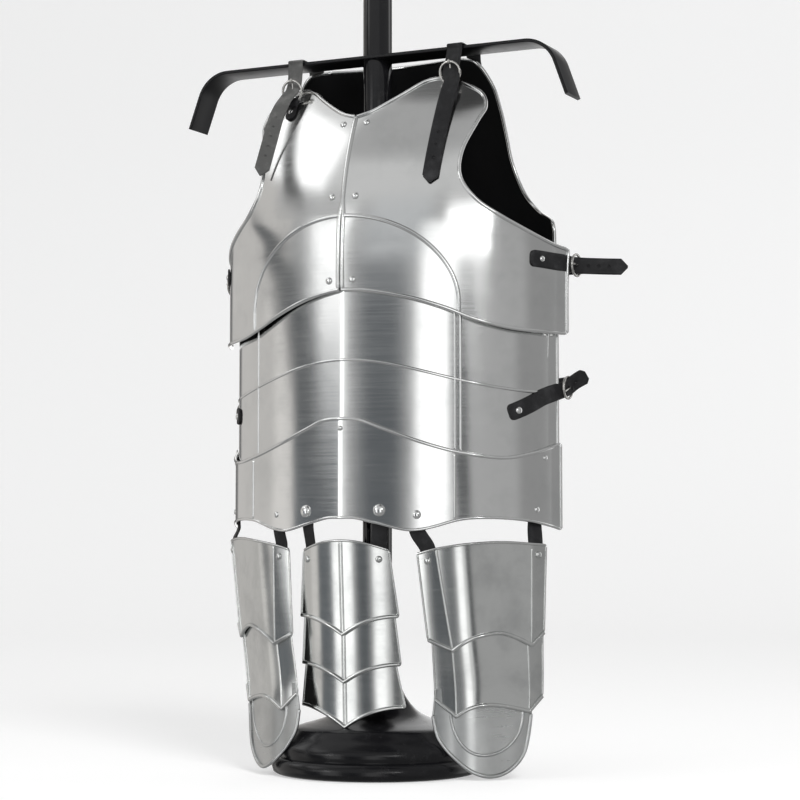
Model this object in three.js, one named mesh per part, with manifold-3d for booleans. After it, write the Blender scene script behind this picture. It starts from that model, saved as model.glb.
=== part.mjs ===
// Steel cuirass with three tassets, hanging by its shoulder straps from a display stand.
// Millimetres. +Z up, the chest faces -Y, +X is the wearer's left, the floor is Z = 0.
import * as THREE from 'three';
import { mergeVertices } from 'three/addons/utils/BufferGeometryUtils.js';
import Module from 'manifold-3d';

const wasm = await Module();
wasm.setup();

// ---------------------------------------------------------------- driving dimensions
const PLATE = 1.5;            // steel sheet
const LEATHER = 2.4;          // strap leather
const GAP = 0.4;              // clearance between neighbouring pieces
const STRAP_WIDTH = 19;
const HANGER_WIDTH = 18;

const POLE_RADIUS = 17.2;
const POLE_TOP = 962;
const BAR = { top: 838, thickness: 4, depth: 40, straight: 195, bend: 42, turn: 70, tail: 42 };
const BASE_BORE_DEPTH = 30;   // the pole stands in the base this far above the floor

const EDGE_ROUNDNESS = 0.2;   // how nearly the sides turn to face sideways, 0 is fully
const KEEL_WIDTH = 110;       // the centre ridge fades out this far from the centre

// Horizontal sections of the body, a row for each height.
// halfWidth is at the side edge, depth runs from the centre front back to the side edge,
// front is the Y of the centre front, keel is the rise of the centre ridge.
const BREAST = [
  { z: 480, halfWidth: 222, depth: 138, front: -96, keel: 5 },
  { z: 556, halfWidth: 222, depth: 138, front: -96, keel: 5 },
  { z: 600, halfWidth: 221, depth: 136, front: -95.5, keel: 5 },
  { z: 642, halfWidth: 218, depth: 130, front: -92, keel: 4 },
  { z: 700, halfWidth: 208, depth: 116, front: -79, keel: 3 },
  { z: 760, halfWidth: 196, depth: 98, front: -55, keel: 2 },
  { z: 815, halfWidth: 186, depth: 80, front: -22, keel: 1 },
];
const WAIST = [
  { z: 280, halfWidth: 209, depth: 135, front: -91, keel: 5 },
  { z: 600, halfWidth: 209, depth: 135, front: -91, keel: 5 },
];
const FAULD = [
  { z: 0, halfWidth: 213, depth: 138.5, front: -95, keel: 5 },
  { z: 420, halfWidth: 213, depth: 138.5, front: -95, keel: 5 },
];
// The back is measured the same way and turned round: front is the Y of its centre line.
const BACK = [
  { z: 290, halfWidth: 202, depth: 98, front: 130, keel: 0 },
  { z: 400, halfWidth: 200.5, depth: 94, front: 124, keel: 0 },
  { z: 500, halfWidth: 201.5, depth: 94, front: 124, keel: 0 },
  { z: 545, halfWidth: 206, depth: 97, front: 127, keel: 0 },
  { z: 600, halfWidth: 214, depth: 99, front: 129, keel: 0 },
  { z: 640, halfWidth: 213, depth: 99, front: 127, keel: 0 },
  { z: 700, halfWidth: 208, depth: 100, front: 117, keel: 0 },
  { z: 760, halfWidth: 204, depth: 102, front: 97, keel: 0 },
  { z: 800, halfWidth: 200, depth: 104, front: 76, keel: 0 },
  { z: 836, halfWidth: 196, depth: 106, front: 52, keel: 0 },
];

// Outlines as seen from the front, [x, z] from the centre outwards, for the wearer's left.
const SEAM = 1;
const NECKLINE = [[SEAM, 758], [18, 763], [34, 772], [52, 784], [70, 797], [84, 802], [103, 802]];
const ARMHOLE = [
  [222, 602], [197, 618], [171, 635], [147, 654], [130, 680],
  [129, 711], [140, 748], [145, 766], [136, 784], [103, 802],
];
const SIDE_EDGE = [[222, 505], [222, 602]];
const HEM = {
  left: [[SEAM, 553], [30, 551], [60, 546], [90, 539], [120, 529], [150, 516], [185, 507], [222, 505]],
  right: [[SEAM, 553], [30, 548], [60, 540], [90, 529], [120, 517], [150, 508], [185, 505], [222, 505]],
};
const FAULD_TOP = [
  [0, 406], [24, 404], [50, 394], [90, 379], [130, 367], [170, 361], [195, 367], [213, 379],
];
const FAULD_HEM = [
  [0, 294], [18, 293.5], [42, 288], [73, 280.5], [90, 280.5],
  [106, 284], [134, 292], [164, 293.5], [193, 290], [213, 281],
];
const BACK_HEM = 300;
const BACK_TOP = 836;
const BACK_NECK = [[0, BACK_TOP], [60, BACK_TOP], [82, BACK_TOP]];
const BACK_ARMHOLE = [
  [203.7, 615], [201, 636], [176.5, 652], [153, 676], [137.6, 713],
  [134, 747], [132, 777], [128, 803], [110.6, 830], [82, BACK_TOP],
];
const BACK_SIDE = [[201, BACK_HEM], [199.5, 400], [200.5, 500], [203, 560], [203.7, 615]];
const WAIST_TUCK = 22;        // how far the waist plate runs under the breast and the fauld

// Side tassets have a section of their own: slope and bend across it from innerX outwards,
// and innerY, the Y of the inner edge, for each height.
const TASSET = { hang: 266, innerX: 88, slope: 0.15, bend: 0.0043 };
const TASSET_FALL = [
  { z: 0, innerY: -41 },
  { z: 90, innerY: -43 },
  { z: 160, innerY: -57 },
  { z: 270, innerY: -75 },
];
const SIDE_LAMES = [
  {
    top: [[85, 253], [107, 258.5], [142, 264], [174, 266], [208, 263]],
    bottom: [[90, 157], [117.5, 145], [138, 158], [161.5, 164.5], [177, 160], [191, 150.5], [201.5, 165]],
  },
  {
    top: [[95, 176], [142, 178], [201, 176]],
    bottom: [[92, 90], [116, 71], [131, 80], [148.5, 84], [167, 81.5], [185, 76], [196, 93]],
  },
  {
    top: [[94, 101], [138, 103], [187, 101]],
    bottom: [
      [90, 72], [94.5, 50], [104, 35], [115.5, 23], [133, 10], [151, 4.5], [168, 12], [181, 33], [187, 74],
    ],
  },
];
// Each side tasset hangs a little askew and rests clear of the base's rim: x, z move the
// whole of it, swayX and swayY move it for each millimetre of drop.
const TASSET_HANG = {
  left: { x: 0, z: 0, swayX: 0.018, swayY: -0.036 },
  right: { x: 6, z: 5, swayX: 0.14, swayY: -0.24 },
};

const CENTRE_TASSET = { hang: 268, ridge: -94.5, lean: 0.06, fold: 15, foldWidth: 56, roundness: 2 };
const CENTRE_LAMES = [
  { topWidth: 54, topZ: 257, rise: 11, bottomWidth: 62, cornerZ: 183, tipZ: 162.5 },
  { topWidth: 57, topZ: 200, rise: 0, bottomWidth: 63, cornerZ: 129, tipZ: 109 },
  { topWidth: 57, topZ: 138, rise: 0, bottomWidth: 66, cornerZ: 81, tipZ: 58 },
];
const LAME_TUCK = 3;          // the top of a lower lame lies this far inside the one above
const LAME_LIP = 0.8;         // and its lower edge this far inside the first lame's surface

const RIVET = { radius: 3, dome: 1.8, shank: 1.8, washer: 3.4 };
const BIG_RIVET = { radius: 7, dome: 3.4, shank: 2.2, washer: 4 };
const RING = { radius: 12.5, wire: 1.5 };
const HANGER_SLACK = 0.75;    // leaves a flat hanger clear of the curved plate it hangs from

const STEEL = { color: 0xc9ccce, roughness: 0.22, metalness: 1 };
const NICKEL = { color: 0xb9b6ae, roughness: 0.25, metalness: 1 };
const BLACK_LEATHER = { color: 0x1b1b1d, roughness: 0.6, metalness: 0 };
const BLACK_LACQUER = { color: 0x0b0b0c, roughness: 0.22, metalness: 0 };

// ---------------------------------------------------------------- numbers and curves
function columnAt(table, key, z) {
  // Cubic through the rows of one column; the slope at a row is that of its neighbours' chord.
  const clamped = THREE.MathUtils.clamp(z, table[0].z, table[table.length - 1].z);
  let i = 0;
  while (i < table.length - 2 && clamped > table[i + 1].z) i += 1;
  const slope = (k) => {
    const before = table[Math.max(k - 1, 0)];
    const after = table[Math.min(k + 1, table.length - 1)];
    return (after[key] - before[key]) / (after.z - before.z);
  };
  const span = table[i + 1].z - table[i].z;
  const t = (clamped - table[i].z) / span;
  const h = t * t * (3 - 2 * t);
  const rise = t * (1 - t) * ((1 - t) * slope(i) - t * slope(i + 1)) * span;
  return table[i][key] * (1 - h) + table[i + 1][key] * h + rise;
}

const EDGE_ANGLE = Math.acos(EDGE_ROUNDNESS);

function girthAt(table, x, z) {
  // The angle round the section at which the surface is x from the centre.
  const reach = Math.sin(EDGE_ANGLE) * Math.abs(x) / columnAt(table, 'halfWidth', z);
  return Math.sign(x) * Math.asin(Math.min(reach, 1));
}

function bodyPoint(table, girth, z) {
  const angle = Math.abs(girth);
  const x = columnAt(table, 'halfWidth', z) * Math.sin(girth) / Math.sin(EDGE_ANGLE);
  const keel = columnAt(table, 'keel', z);
  const fade = Math.max(1 - Math.abs(x) / KEEL_WIDTH, 0);
  const fall = (columnAt(table, 'depth', z) - keel) * (1 - Math.cos(angle)) / (1 - EDGE_ROUNDNESS);
  const inward = fall + keel * (1 - fade * fade);
  const facing = table === BACK ? -1 : 1;
  return new THREE.Vector3(x, columnAt(table, 'front', z) + facing * inward, z);
}

function onBody(table, x, z) {
  return bodyPoint(table, girthAt(table, x, z), z);
}

function smooth(points) {
  const curve = new THREE.SplineCurve(points.map(([x, z]) => new THREE.Vector2(x, z)));
  return (t) => curve.getPoint(t);
}

function straight(from, to) {
  return (t) => new THREE.Vector2(from[0], from[1]).lerp(new THREE.Vector2(to[0], to[1]), t);
}

function joined(first, second, share) {
  return (t) => (t < share ? first(t / share) : second((t - share) / (1 - share)));
}

function heightOn(points, x) {
  // Height of a smooth line of [x, z] points over x, which must grow along the line.
  const curve = smooth(points);
  let low = 0;
  let high = 1;
  for (let step = 0; step < 30; step += 1) {
    const middle = (low + high) / 2;
    if (curve(middle).x < x) low = middle;
    else high = middle;
  }
  return curve((low + high) / 2).y;
}

function blended(bottom, top, inner, outer) {
  // A flat Coons patch between four edge curves.
  return (u, v) => {
    const at = bottom(u).multiplyScalar(1 - v).addScaledVector(top(u), v);
    at.addScaledVector(inner(v), 1 - u).addScaledVector(outer(v), u);
    at.addScaledVector(bottom(0), -(1 - u) * (1 - v)).addScaledVector(bottom(1), -u * (1 - v));
    return at.addScaledVector(top(0), -(1 - u) * v).addScaledVector(top(1), -u * v);
  };
}

function patch(bottom, top, inner, outer, table) {
  // Blends four edge curves into one sheet, evenly round the body rather than across it.
  const unrolled = (curve) => (t) => {
    const { x, y } = curve(t);
    return new THREE.Vector2(girthAt(table, x, y), y);
  };
  const sheet = blended(...[bottom, top, inner, outer].map(unrolled));
  return (u, v) => {
    const at = sheet(u, v);
    return bodyPoint(table, at.x, at.y);
  };
}

// ---------------------------------------------------------------- solids
function toSolid(geometry) {
  const bare = geometry.index ? geometry.clone() : geometry;
  bare.deleteAttribute('normal');
  bare.deleteAttribute('uv');
  const merged = mergeVertices(bare, 1e-5);
  const vertProperties = new Float32Array(merged.attributes.position.array);
  const triVerts = new Uint32Array(merged.index.array);
  return new wasm.Manifold(new wasm.Mesh({ numProp: 3, vertProperties, triVerts }));
}

function toGeometry(solid) {
  const mesh = solid.getMesh();
  const geometry = new THREE.BufferGeometry();
  geometry.setAttribute('position', new THREE.BufferAttribute(new Float32Array(mesh.vertProperties), 3));
  geometry.setIndex(new THREE.BufferAttribute(new Uint32Array(mesh.triVerts), 1));
  geometry.computeVertexNormals();
  return geometry;
}

function bentSheet(cells, surface, thickness, offset = 0) {
  // A flat block whose broad side is laid on surface(u, v), and whose other side is a
  // thickness further in. offset moves the whole sheet inwards along its normal.
  const geometry = new THREE.BoxGeometry(1, 1, 1, cells[0], cells[1], 1);
  const position = geometry.attributes.position;
  const step = 1e-3;
  for (let i = 0; i < position.count; i += 1) {
    const u = position.getX(i) + 0.5;
    const v = position.getY(i) + 0.5;
    const inside = 0.5 - position.getZ(i);
    const du = surface(Math.min(u + step, 1), v).sub(surface(Math.max(u - step, 0), v));
    const dv = surface(u, Math.min(v + step, 1)).sub(surface(u, Math.max(v - step, 0)));
    const normal = du.cross(dv).normalize();
    const laid = surface(u, v);
    const shift = typeof offset === 'function' ? offset(laid) : offset;
    const point = laid.addScaledVector(normal, -(inside * thickness + shift));
    position.setXYZ(i, point.x, point.y, point.z);
  }
  return toSolid(geometry);
}

function ribbon(points, width, thickness, across, steps) {
  // A strap along a smooth route; across(t) is the direction of its width.
  const route = new THREE.CatmullRomCurve3(points.map((p) => new THREE.Vector3(...p)));
  const surface = (u, v) => {
    const side = across(u).clone().normalize();
    return route.getPoint(u).addScaledVector(side, (v - 0.5) * width);
  };
  return bentSheet([steps, 1], surface, thickness, -thickness / 2);
}

function turned(profile, segments) {
  // A lathe of [radius, height] pairs, standing on Z.
  const points = profile.map(([r, h]) => new THREE.Vector2(r, h));
  return new THREE.LatheGeometry(points, segments).rotateX(Math.PI / 2);
}

function placed(geometry, point, direction) {
  const turn = new THREE.Quaternion();
  turn.setFromUnitVectors(new THREE.Vector3(0, 0, 1), direction.clone().normalize());
  return geometry.applyQuaternion(turn).translate(point.x, point.y, point.z);
}

function frameOn(pointAt, x, z) {
  // The point, outward normal and crosswise direction of a front surface at x, z.
  const across = pointAt(x + 0.5, z).sub(pointAt(x - 0.5, z)).normalize();
  const up = pointAt(x, z + 0.5).sub(pointAt(x, z - 0.5));
  return { point: pointAt(x, z), outward: across.clone().cross(up).normalize(), across };
}

function outwardAt(table, x, z) {
  const { outward } = frameOn((px, pz) => onBody(table, px, pz), x, z);
  return table === BACK ? outward.negate() : outward;
}

function rivet(point, normal, kind, outer = 0, inner = 0) {
  // outer and inner are what the rivet holds against the two faces of its plate.
  const { radius, dome, shank, washer } = kind;
  const back = inner > 0 ? -(PLATE + inner) : -(PLATE + 0.3);
  const tail = inner > 0
    ? [[0, back - 1], [washer, back - 1], [washer, back], [shank, back]]
    : [[0, back], [shank, back]];
  const head = outer > 0 ? [[shank, outer], [radius, outer]] : [[shank, -PLATE / 2 + 0.2], [radius, -0.3]];
  const crown = [[radius * 0.78, outer + dome * 0.7], [0, outer + dome]];
  return toSolid(placed(turned([...tail, ...head, ...crown], 6), point, normal));
}

function rivetOn(table, x, z, kind, outer = 0, inner = 0) {
  return rivet(onBody(table, x, z), outwardAt(table, x, z), kind, outer, inner);
}

function punch(point, normal, radius) {
  const hole = new THREE.CylinderGeometry(radius, radius, 30, 8).rotateX(Math.PI / 2);
  return toSolid(placed(hole, point, normal));
}

// ---------------------------------------------------------------- assembly helpers
const cuirass = new THREE.Group();

function addPiece(name, solid, look) {
  const mesh = new THREE.Mesh(toGeometry(solid), new THREE.MeshStandardMaterial(look));
  mesh.name = name;
  cuirass.add(mesh);
}

function mirrored(solid) {
  // The same solid with its x turned round; its triangles are turned too, so they face out.
  const geometry = toGeometry(solid).scale(-1, 1, 1);
  geometry.index.array.reverse();
  return toSolid(geometry);
}

const SIDES = [{ side: 'left', sign: 1 }, { side: 'right', sign: -1 }];

// ---------------------------------------------------------------- where the straps go
// Shoulder straps run from the back plate over the crossbar and through a ring buckle.
const SHOULDER = {
  left: { x: 106, barX: 110, backX: 107, tipX: 99, tipZ: 672, ringZ: 806, ringOut: 5, tabZ: 779 },
  right: { x: -99, barX: -98.5, backX: -102, tipX: -122, tipZ: 696, ringZ: 802, ringOut: 8, tabZ: 776 },
};
const BACK_STRAP_Z = 796;
// Side straps are riveted to the front at x, z and meet their ring at ringY, buckleZ.
const UPPER_STRAP = {
  left: { x: 206, z: 588, buckleZ: 585, tip: [283, 80, 583] },
  right: { x: -206, z: 588, buckleZ: 585, tip: [-262, 88, 580] },
};
const LOWER_STRAP = {
  left: { x: 182, z: 415, buckleZ: 444, tip: [236, 69, 459] },
  right: { x: -182, z: 417, buckleZ: 424, tip: [-243, 72, 430] },
};
const BACK_TAB_X = 170;

// ---------------------------------------------------------------- body plates
// Rivets by height, seen from the front; x is signed, + on the wearer's left.
const SEAM_RIVETS = [{ x: 15, z: 750 }, { x: 15, z: 660.5 }, { x: 15, z: 563.5 }];
const CENTRE_STRIP_WIDTH = 42;

function breastHalf(side) {
  const hem = smooth(HEM[side]);
  const neck = smooth(NECKLINE);
  const seam = straight([SEAM, 553], [SEAM, 758]);
  const flank = joined(straight(...SIDE_EDGE), smooth(ARMHOLE), 0.25);
  return bentSheet([10, 12], patch(hem, neck, seam, flank, BREAST), PLATE);
}

function seamRivets(sign) {
  return SEAM_RIVETS.map(({ x, z }) => rivetOn(BREAST, sign * x, z, RIVET, 0, PLATE + 2 * GAP));
}

function buildBreast() {
  const buckleRivets = SIDES.map(({ side }) => {
    const shoulder = SHOULDER[side];
    return [
      rivetOn(BREAST, shoulder.x, shoulder.tabZ, RIVET, LEATHER + 2 * GAP),
      rivetOn(BREAST, UPPER_STRAP[side].x, UPPER_STRAP[side].z, RIVET, LEATHER + 2 * GAP),
    ];
  });
  SIDES.forEach(({ side, sign }, index) => {
    let half = breastHalf(side);
    if (sign < 0) half = mirrored(half);
    [...seamRivets(sign), ...buckleRivets[index]].forEach((one) => { half = half.add(one); });
    addPiece(`breast_plate_${side}`, half, STEEL);
  });
  const strip = (u, v) => onBody(BREAST, (u - 0.5) * CENTRE_STRIP_WIDTH, 556 + v * 196);
  let backing = bentSheet([4, 8], strip, PLATE, PLATE + GAP);
  SIDES.forEach(({ sign }) => SEAM_RIVETS.forEach(({ x, z }) => {
    const hole = punch(onBody(BREAST, sign * x, z), outwardAt(BREAST, sign * x, z), RIVET.shank + GAP);
    backing = backing.subtract(hole);
  }));
  addPiece('breast_seam_strip', backing, STEEL);
}

function buildWaist() {
  const waistSheet = (u, v) => {
    const girth = (2 * u - 1) * EDGE_ANGLE;
    const x = bodyPoint(WAIST, girth, 400).x;
    const across = Math.abs(x) * HEM.left[7][0] / WAIST[0].halfWidth;
    const hem = x > 0 ? HEM.left : HEM.right;
    const top = heightOn(hem, Math.max(across, SEAM)) + WAIST_TUCK;
    const low = heightOn(FAULD_TOP, Math.abs(x)) - WAIST_TUCK;
    return bodyPoint(WAIST, girth, low + (top - low) * v);
  };
  let plate = bentSheet([22, 4], waistSheet, PLATE);
  SIDES.forEach(({ side }) => {
    const { x, z } = LOWER_STRAP[side];
    plate = plate.add(rivetOn(WAIST, x, z, RIVET, LEATHER + 2 * GAP));
  });
  addPiece('waist_plate', plate, STEEL);
}

// Each hanger joins a rivet on the fauld to a rivet on a tasset.
const HANGER_ROOM = LEATHER + 2 * GAP + 2 * HANGER_SLACK;
const HANGERS = [
  ['centre_right', 'centre', { x: -48, z: 301.5 }, { x: -48, z: 247 }, BIG_RIVET],
  ['centre_left', 'centre', { x: 46, z: 302 }, { x: 44, z: 247 }, BIG_RIVET],
  ['left_inner', 'left', { x: 87, z: 297 }, { x: 97, z: 245 }, RIVET],
  ['left_outer', 'left', { x: 199, z: 303 }, { x: 202, z: 252 }, RIVET],
  ['right_inner', 'right', { x: -94, z: 298 }, { x: -91, z: 250 }, RIVET],
  ['right_outer', 'right', { x: -199, z: 303 }, { x: -198, z: 257 }, RIVET],
].map(([name, tasset, top, foot, kind]) => ({ name, tasset, top, foot, kind }));
const FAULD_RIVETS = [{ x: 0, z: 395 }, { x: 205, z: 362 }, { x: -205, z: 362 }];

function buildFauld() {
  const sheet = (u, v) => {
    const girth = (2 * u - 1) * EDGE_ANGLE;
    const x = Math.abs(bodyPoint(FAULD, girth, 400).x);
    const low = heightOn(FAULD_HEM, x);
    return bodyPoint(FAULD, girth, low + (heightOn(FAULD_TOP, x) - low) * v);
  };
  let plate = bentSheet([28, 3], sheet, PLATE);
  HANGERS.forEach(({ top, kind }) => {
    plate = plate.add(rivetOn(FAULD, top.x, top.z, kind, 0, HANGER_ROOM));
  });
  FAULD_RIVETS.forEach(({ x, z }) => {
    plate = plate.add(rivetOn(FAULD, x, z, RIVET));
  });
  addPiece('fauld_plate', plate, STEEL);
}

function buildBack() {
  const flank = joined(smooth(BACK_SIDE), smooth(BACK_ARMHOLE), 0.5);
  const hem = straight([0, BACK_HEM], BACK_SIDE[0]);
  const half = patch(hem, smooth(BACK_NECK), straight([0, BACK_HEM], BACK_NECK[0]), flank, BACK);
  const whole = (u, v) => {
    const across = 1 - 2 * u;
    const point = half(Math.abs(across), v);
    point.x *= Math.sign(across);
    return point;
  };
  let plate = bentSheet([18, 12], whole, PLATE);
  const holders = [];
  SIDES.forEach(({ side, sign }) => {
    const shoulder = SHOULDER[side];
    holders.push({ x: shoulder.backX, z: BACK_STRAP_Z });
    holders.push({ x: sign * BACK_TAB_X, z: UPPER_STRAP[side].buckleZ });
    holders.push({ x: sign * BACK_TAB_X, z: LOWER_STRAP[side].buckleZ });
  });
  holders.forEach(({ x, z }) => {
    plate = plate.add(rivetOn(BACK, x, z, RIVET, LEATHER + 2 * GAP));
  });
  addPiece('back_plate', plate, STEEL);
}

// ---------------------------------------------------------------- tassets
function chain(points) {
  // Straight links between the points, each taking an equal share.
  return (t) => {
    const at = Math.min(Math.floor(t * (points.length - 1)), points.length - 2);
    return straight(points[at], points[at + 1])(t * (points.length - 1) - at);
  };
}

function sideTassetPoint(side, x, z) {
  // x, z are those of a left tasset hanging straight; the point is where they come to be.
  const hang = TASSET_HANG[side];
  const out = x - TASSET.innerX;
  const drop = TASSET.hang - z;
  const y = columnAt(TASSET_FALL, 'innerY', z) + TASSET.slope * out + TASSET.bend * out * out;
  const facing = side === 'left' ? 1 : -1;
  return new THREE.Vector3(
    facing * x + hang.x + hang.swayX * drop,
    y + hang.swayY * drop,
    z + hang.z,
  );
}

function tassetFace(side, x, z) {
  // The face of a side tasset at a world x, z.
  const hang = TASSET_HANG[side];
  const level = z - hang.z;
  const across = x - hang.x - hang.swayX * (TASSET.hang - level);
  return sideTassetPoint(side, Math.abs(across), level);
}

function centreTassetPoint(x, z) {
  const { hang, ridge, lean, fold, foldWidth, roundness } = CENTRE_TASSET;
  const back = fold * (Math.abs(x) / foldWidth) ** roundness;
  return new THREE.Vector3(x, ridge + lean * (hang - z) + back, z);
}

function lameDepth(index, cuspZ) {
  // Lower lames are tucked in behind the one above and come out to the lip below its cusp.
  if (index === 0) return 0;
  return (point) => {
    const tucked = THREE.MathUtils.clamp((point.z - cuspZ + 22) / 16, 0, 1);
    return LAME_LIP + (LAME_TUCK - LAME_LIP) * tucked;
  };
}

function tassetRivet(pointAt, x, z) {
  const { point, outward } = frameOn(pointAt, x, z);
  return rivet(point, outward, RIVET, 0, HANGER_ROOM);
}

function buildSideTasset(side) {
  SIDE_LAMES.forEach(({ top, bottom }, index) => {
    const round = index === SIDE_LAMES.length - 1;
    const low = round ? smooth(bottom) : chain(bottom);
    const inner = straight(bottom[0], top[0]);
    const outer = straight(bottom[bottom.length - 1], top[top.length - 1]);
    const outline = blended(low, smooth(top), inner, outer);
    const sheet = (u, v) => {
      const at = outline(side === 'left' ? u : 1 - u, v);
      return sideTassetPoint(side, at.x, at.y);
    };
    const cuspZ = index === 0 ? 0 : SIDE_LAMES[index - 1].bottom[1][1] + TASSET_HANG[side].z;
    let lame = bentSheet([12, 4], sheet, PLATE, lameDepth(index, cuspZ));
    if (index === 0) {
      HANGERS.filter((hanger) => hanger.tasset === side).forEach(({ foot }) => {
        lame = lame.add(tassetRivet((x, z) => tassetFace(side, x, z), foot.x, foot.z));
      });
    }
    addPiece(`tasset_${side}_lame_${index + 1}`, lame, STEEL);
  });
}

function buildCentreTasset() {
  CENTRE_LAMES.forEach(({ topWidth, topZ, rise, bottomWidth, cornerZ, tipZ }, index) => {
    const sheet = (u, v) => {
      const across = 2 * u - 1;
      const high = topZ + rise * (1 - across * across);
      const low = tipZ + (cornerZ - tipZ) * (1 - (1 - Math.abs(across)) ** 2);
      const width = bottomWidth + (topWidth - bottomWidth) * v;
      return centreTassetPoint(across * width, low + (high - low) * v);
    };
    const cuspZ = index === 0 ? 0 : CENTRE_LAMES[index - 1].tipZ;
    let lame = bentSheet([10, 4], sheet, PLATE, lameDepth(index, cuspZ));
    if (index === 0) {
      HANGERS.filter((hanger) => hanger.tasset === 'centre').forEach(({ foot }) => {
        lame = lame.add(tassetRivet(centreTassetPoint, foot.x, foot.z));
      });
    }
    addPiece(`tasset_centre_lame_${index + 1}`, lame, STEEL);
  });
}

// ---------------------------------------------------------------- leather
function buildHangers() {
  const onFauld = (x, z) => onBody(FAULD, x, z);
  const depth = PLATE + GAP + HANGER_SLACK + LEATHER / 2;
  const inside = (pointAt, x, z, extra) => {
    const { point, outward } = frameOn(pointAt, x, z);
    return point.addScaledVector(outward, -depth - extra).toArray();
  };
  HANGERS.forEach(({ name, tasset, top, foot, kind }) => {
    const onTasset = tasset === 'centre'
      ? centreTassetPoint
      : (x, z) => tassetFace(tasset, x, z);
    const points = [
      inside(onFauld, top.x, top.z + 10, 0),
      inside(onFauld, top.x, top.z, 0),
      inside(onFauld, top.x, top.z - 18, 0.6),
      inside(onTasset, foot.x, foot.z + 14, 1.2),
      inside(onTasset, foot.x, foot.z, 0),
      inside(onTasset, foot.x, foot.z - 9, 0),
    ];
    const upper = frameOn(onFauld, top.x, top.z);
    const lower = frameOn(onTasset, foot.x, foot.z);
    const across = (t) => upper.across.clone().lerp(lower.across, Math.min(1.4 * t, 1));
    let strap = ribbon(points, HANGER_WIDTH, LEATHER, across, 9);
    strap = strap.subtract(punch(upper.point, upper.outward, kind.shank + GAP));
    strap = strap.subtract(punch(lower.point, lower.outward, RIVET.shank + GAP));
    addPiece(`hanger_${name}`, strap, BLACK_LEATHER);
  });
}

function ringBuckle(centre, along, across) {
  // A wire ring with its prong lying along it; across is the direction of the strap's width.
  // room is what the leather round it leaves free.
  const turn = new THREE.Matrix4().makeBasis(across, along, across.clone().cross(along));
  const place = (geometry) => {
    geometry.applyMatrix4(turn);
    return toSolid(geometry.translate(centre.x, centre.y, centre.z));
  };
  const wire = (spare) => place(new THREE.TorusGeometry(RING.radius, RING.wire + spare, 6, 18));
  const thick = RING.wire * 0.7;
  const prong = (spare) => {
    const rod = new THREE.CylinderGeometry(thick + spare, thick + spare, RING.radius * 2, 6);
    return place(rod);
  };
  return { buckle: wire(0).add(prong(0)), room: wire(GAP).add(prong(GAP)) };
}

function offBody(table, x, z, distance) {
  return onBody(table, x, z).addScaledVector(outwardAt(table, x, z), distance);
}

function crossDirection(table, x, z) {
  const direction = onBody(table, x + 0.5, z).sub(onBody(table, x - 0.5, z));
  return direction.normalize();
}

function shifting(stages) {
  // A direction that moves from one of the stages' to the next; each has its t and direction.
  return (t) => {
    let i = 0;
    while (i < stages.length - 2 && t > stages[i + 1].t) i += 1;
    const { t: from, direction } = stages[i];
    const next = stages[i + 1];
    const share = THREE.MathUtils.smoothstep(t, from, next.t);
    return direction.clone().lerp(next.direction, share);
  };
}

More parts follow.
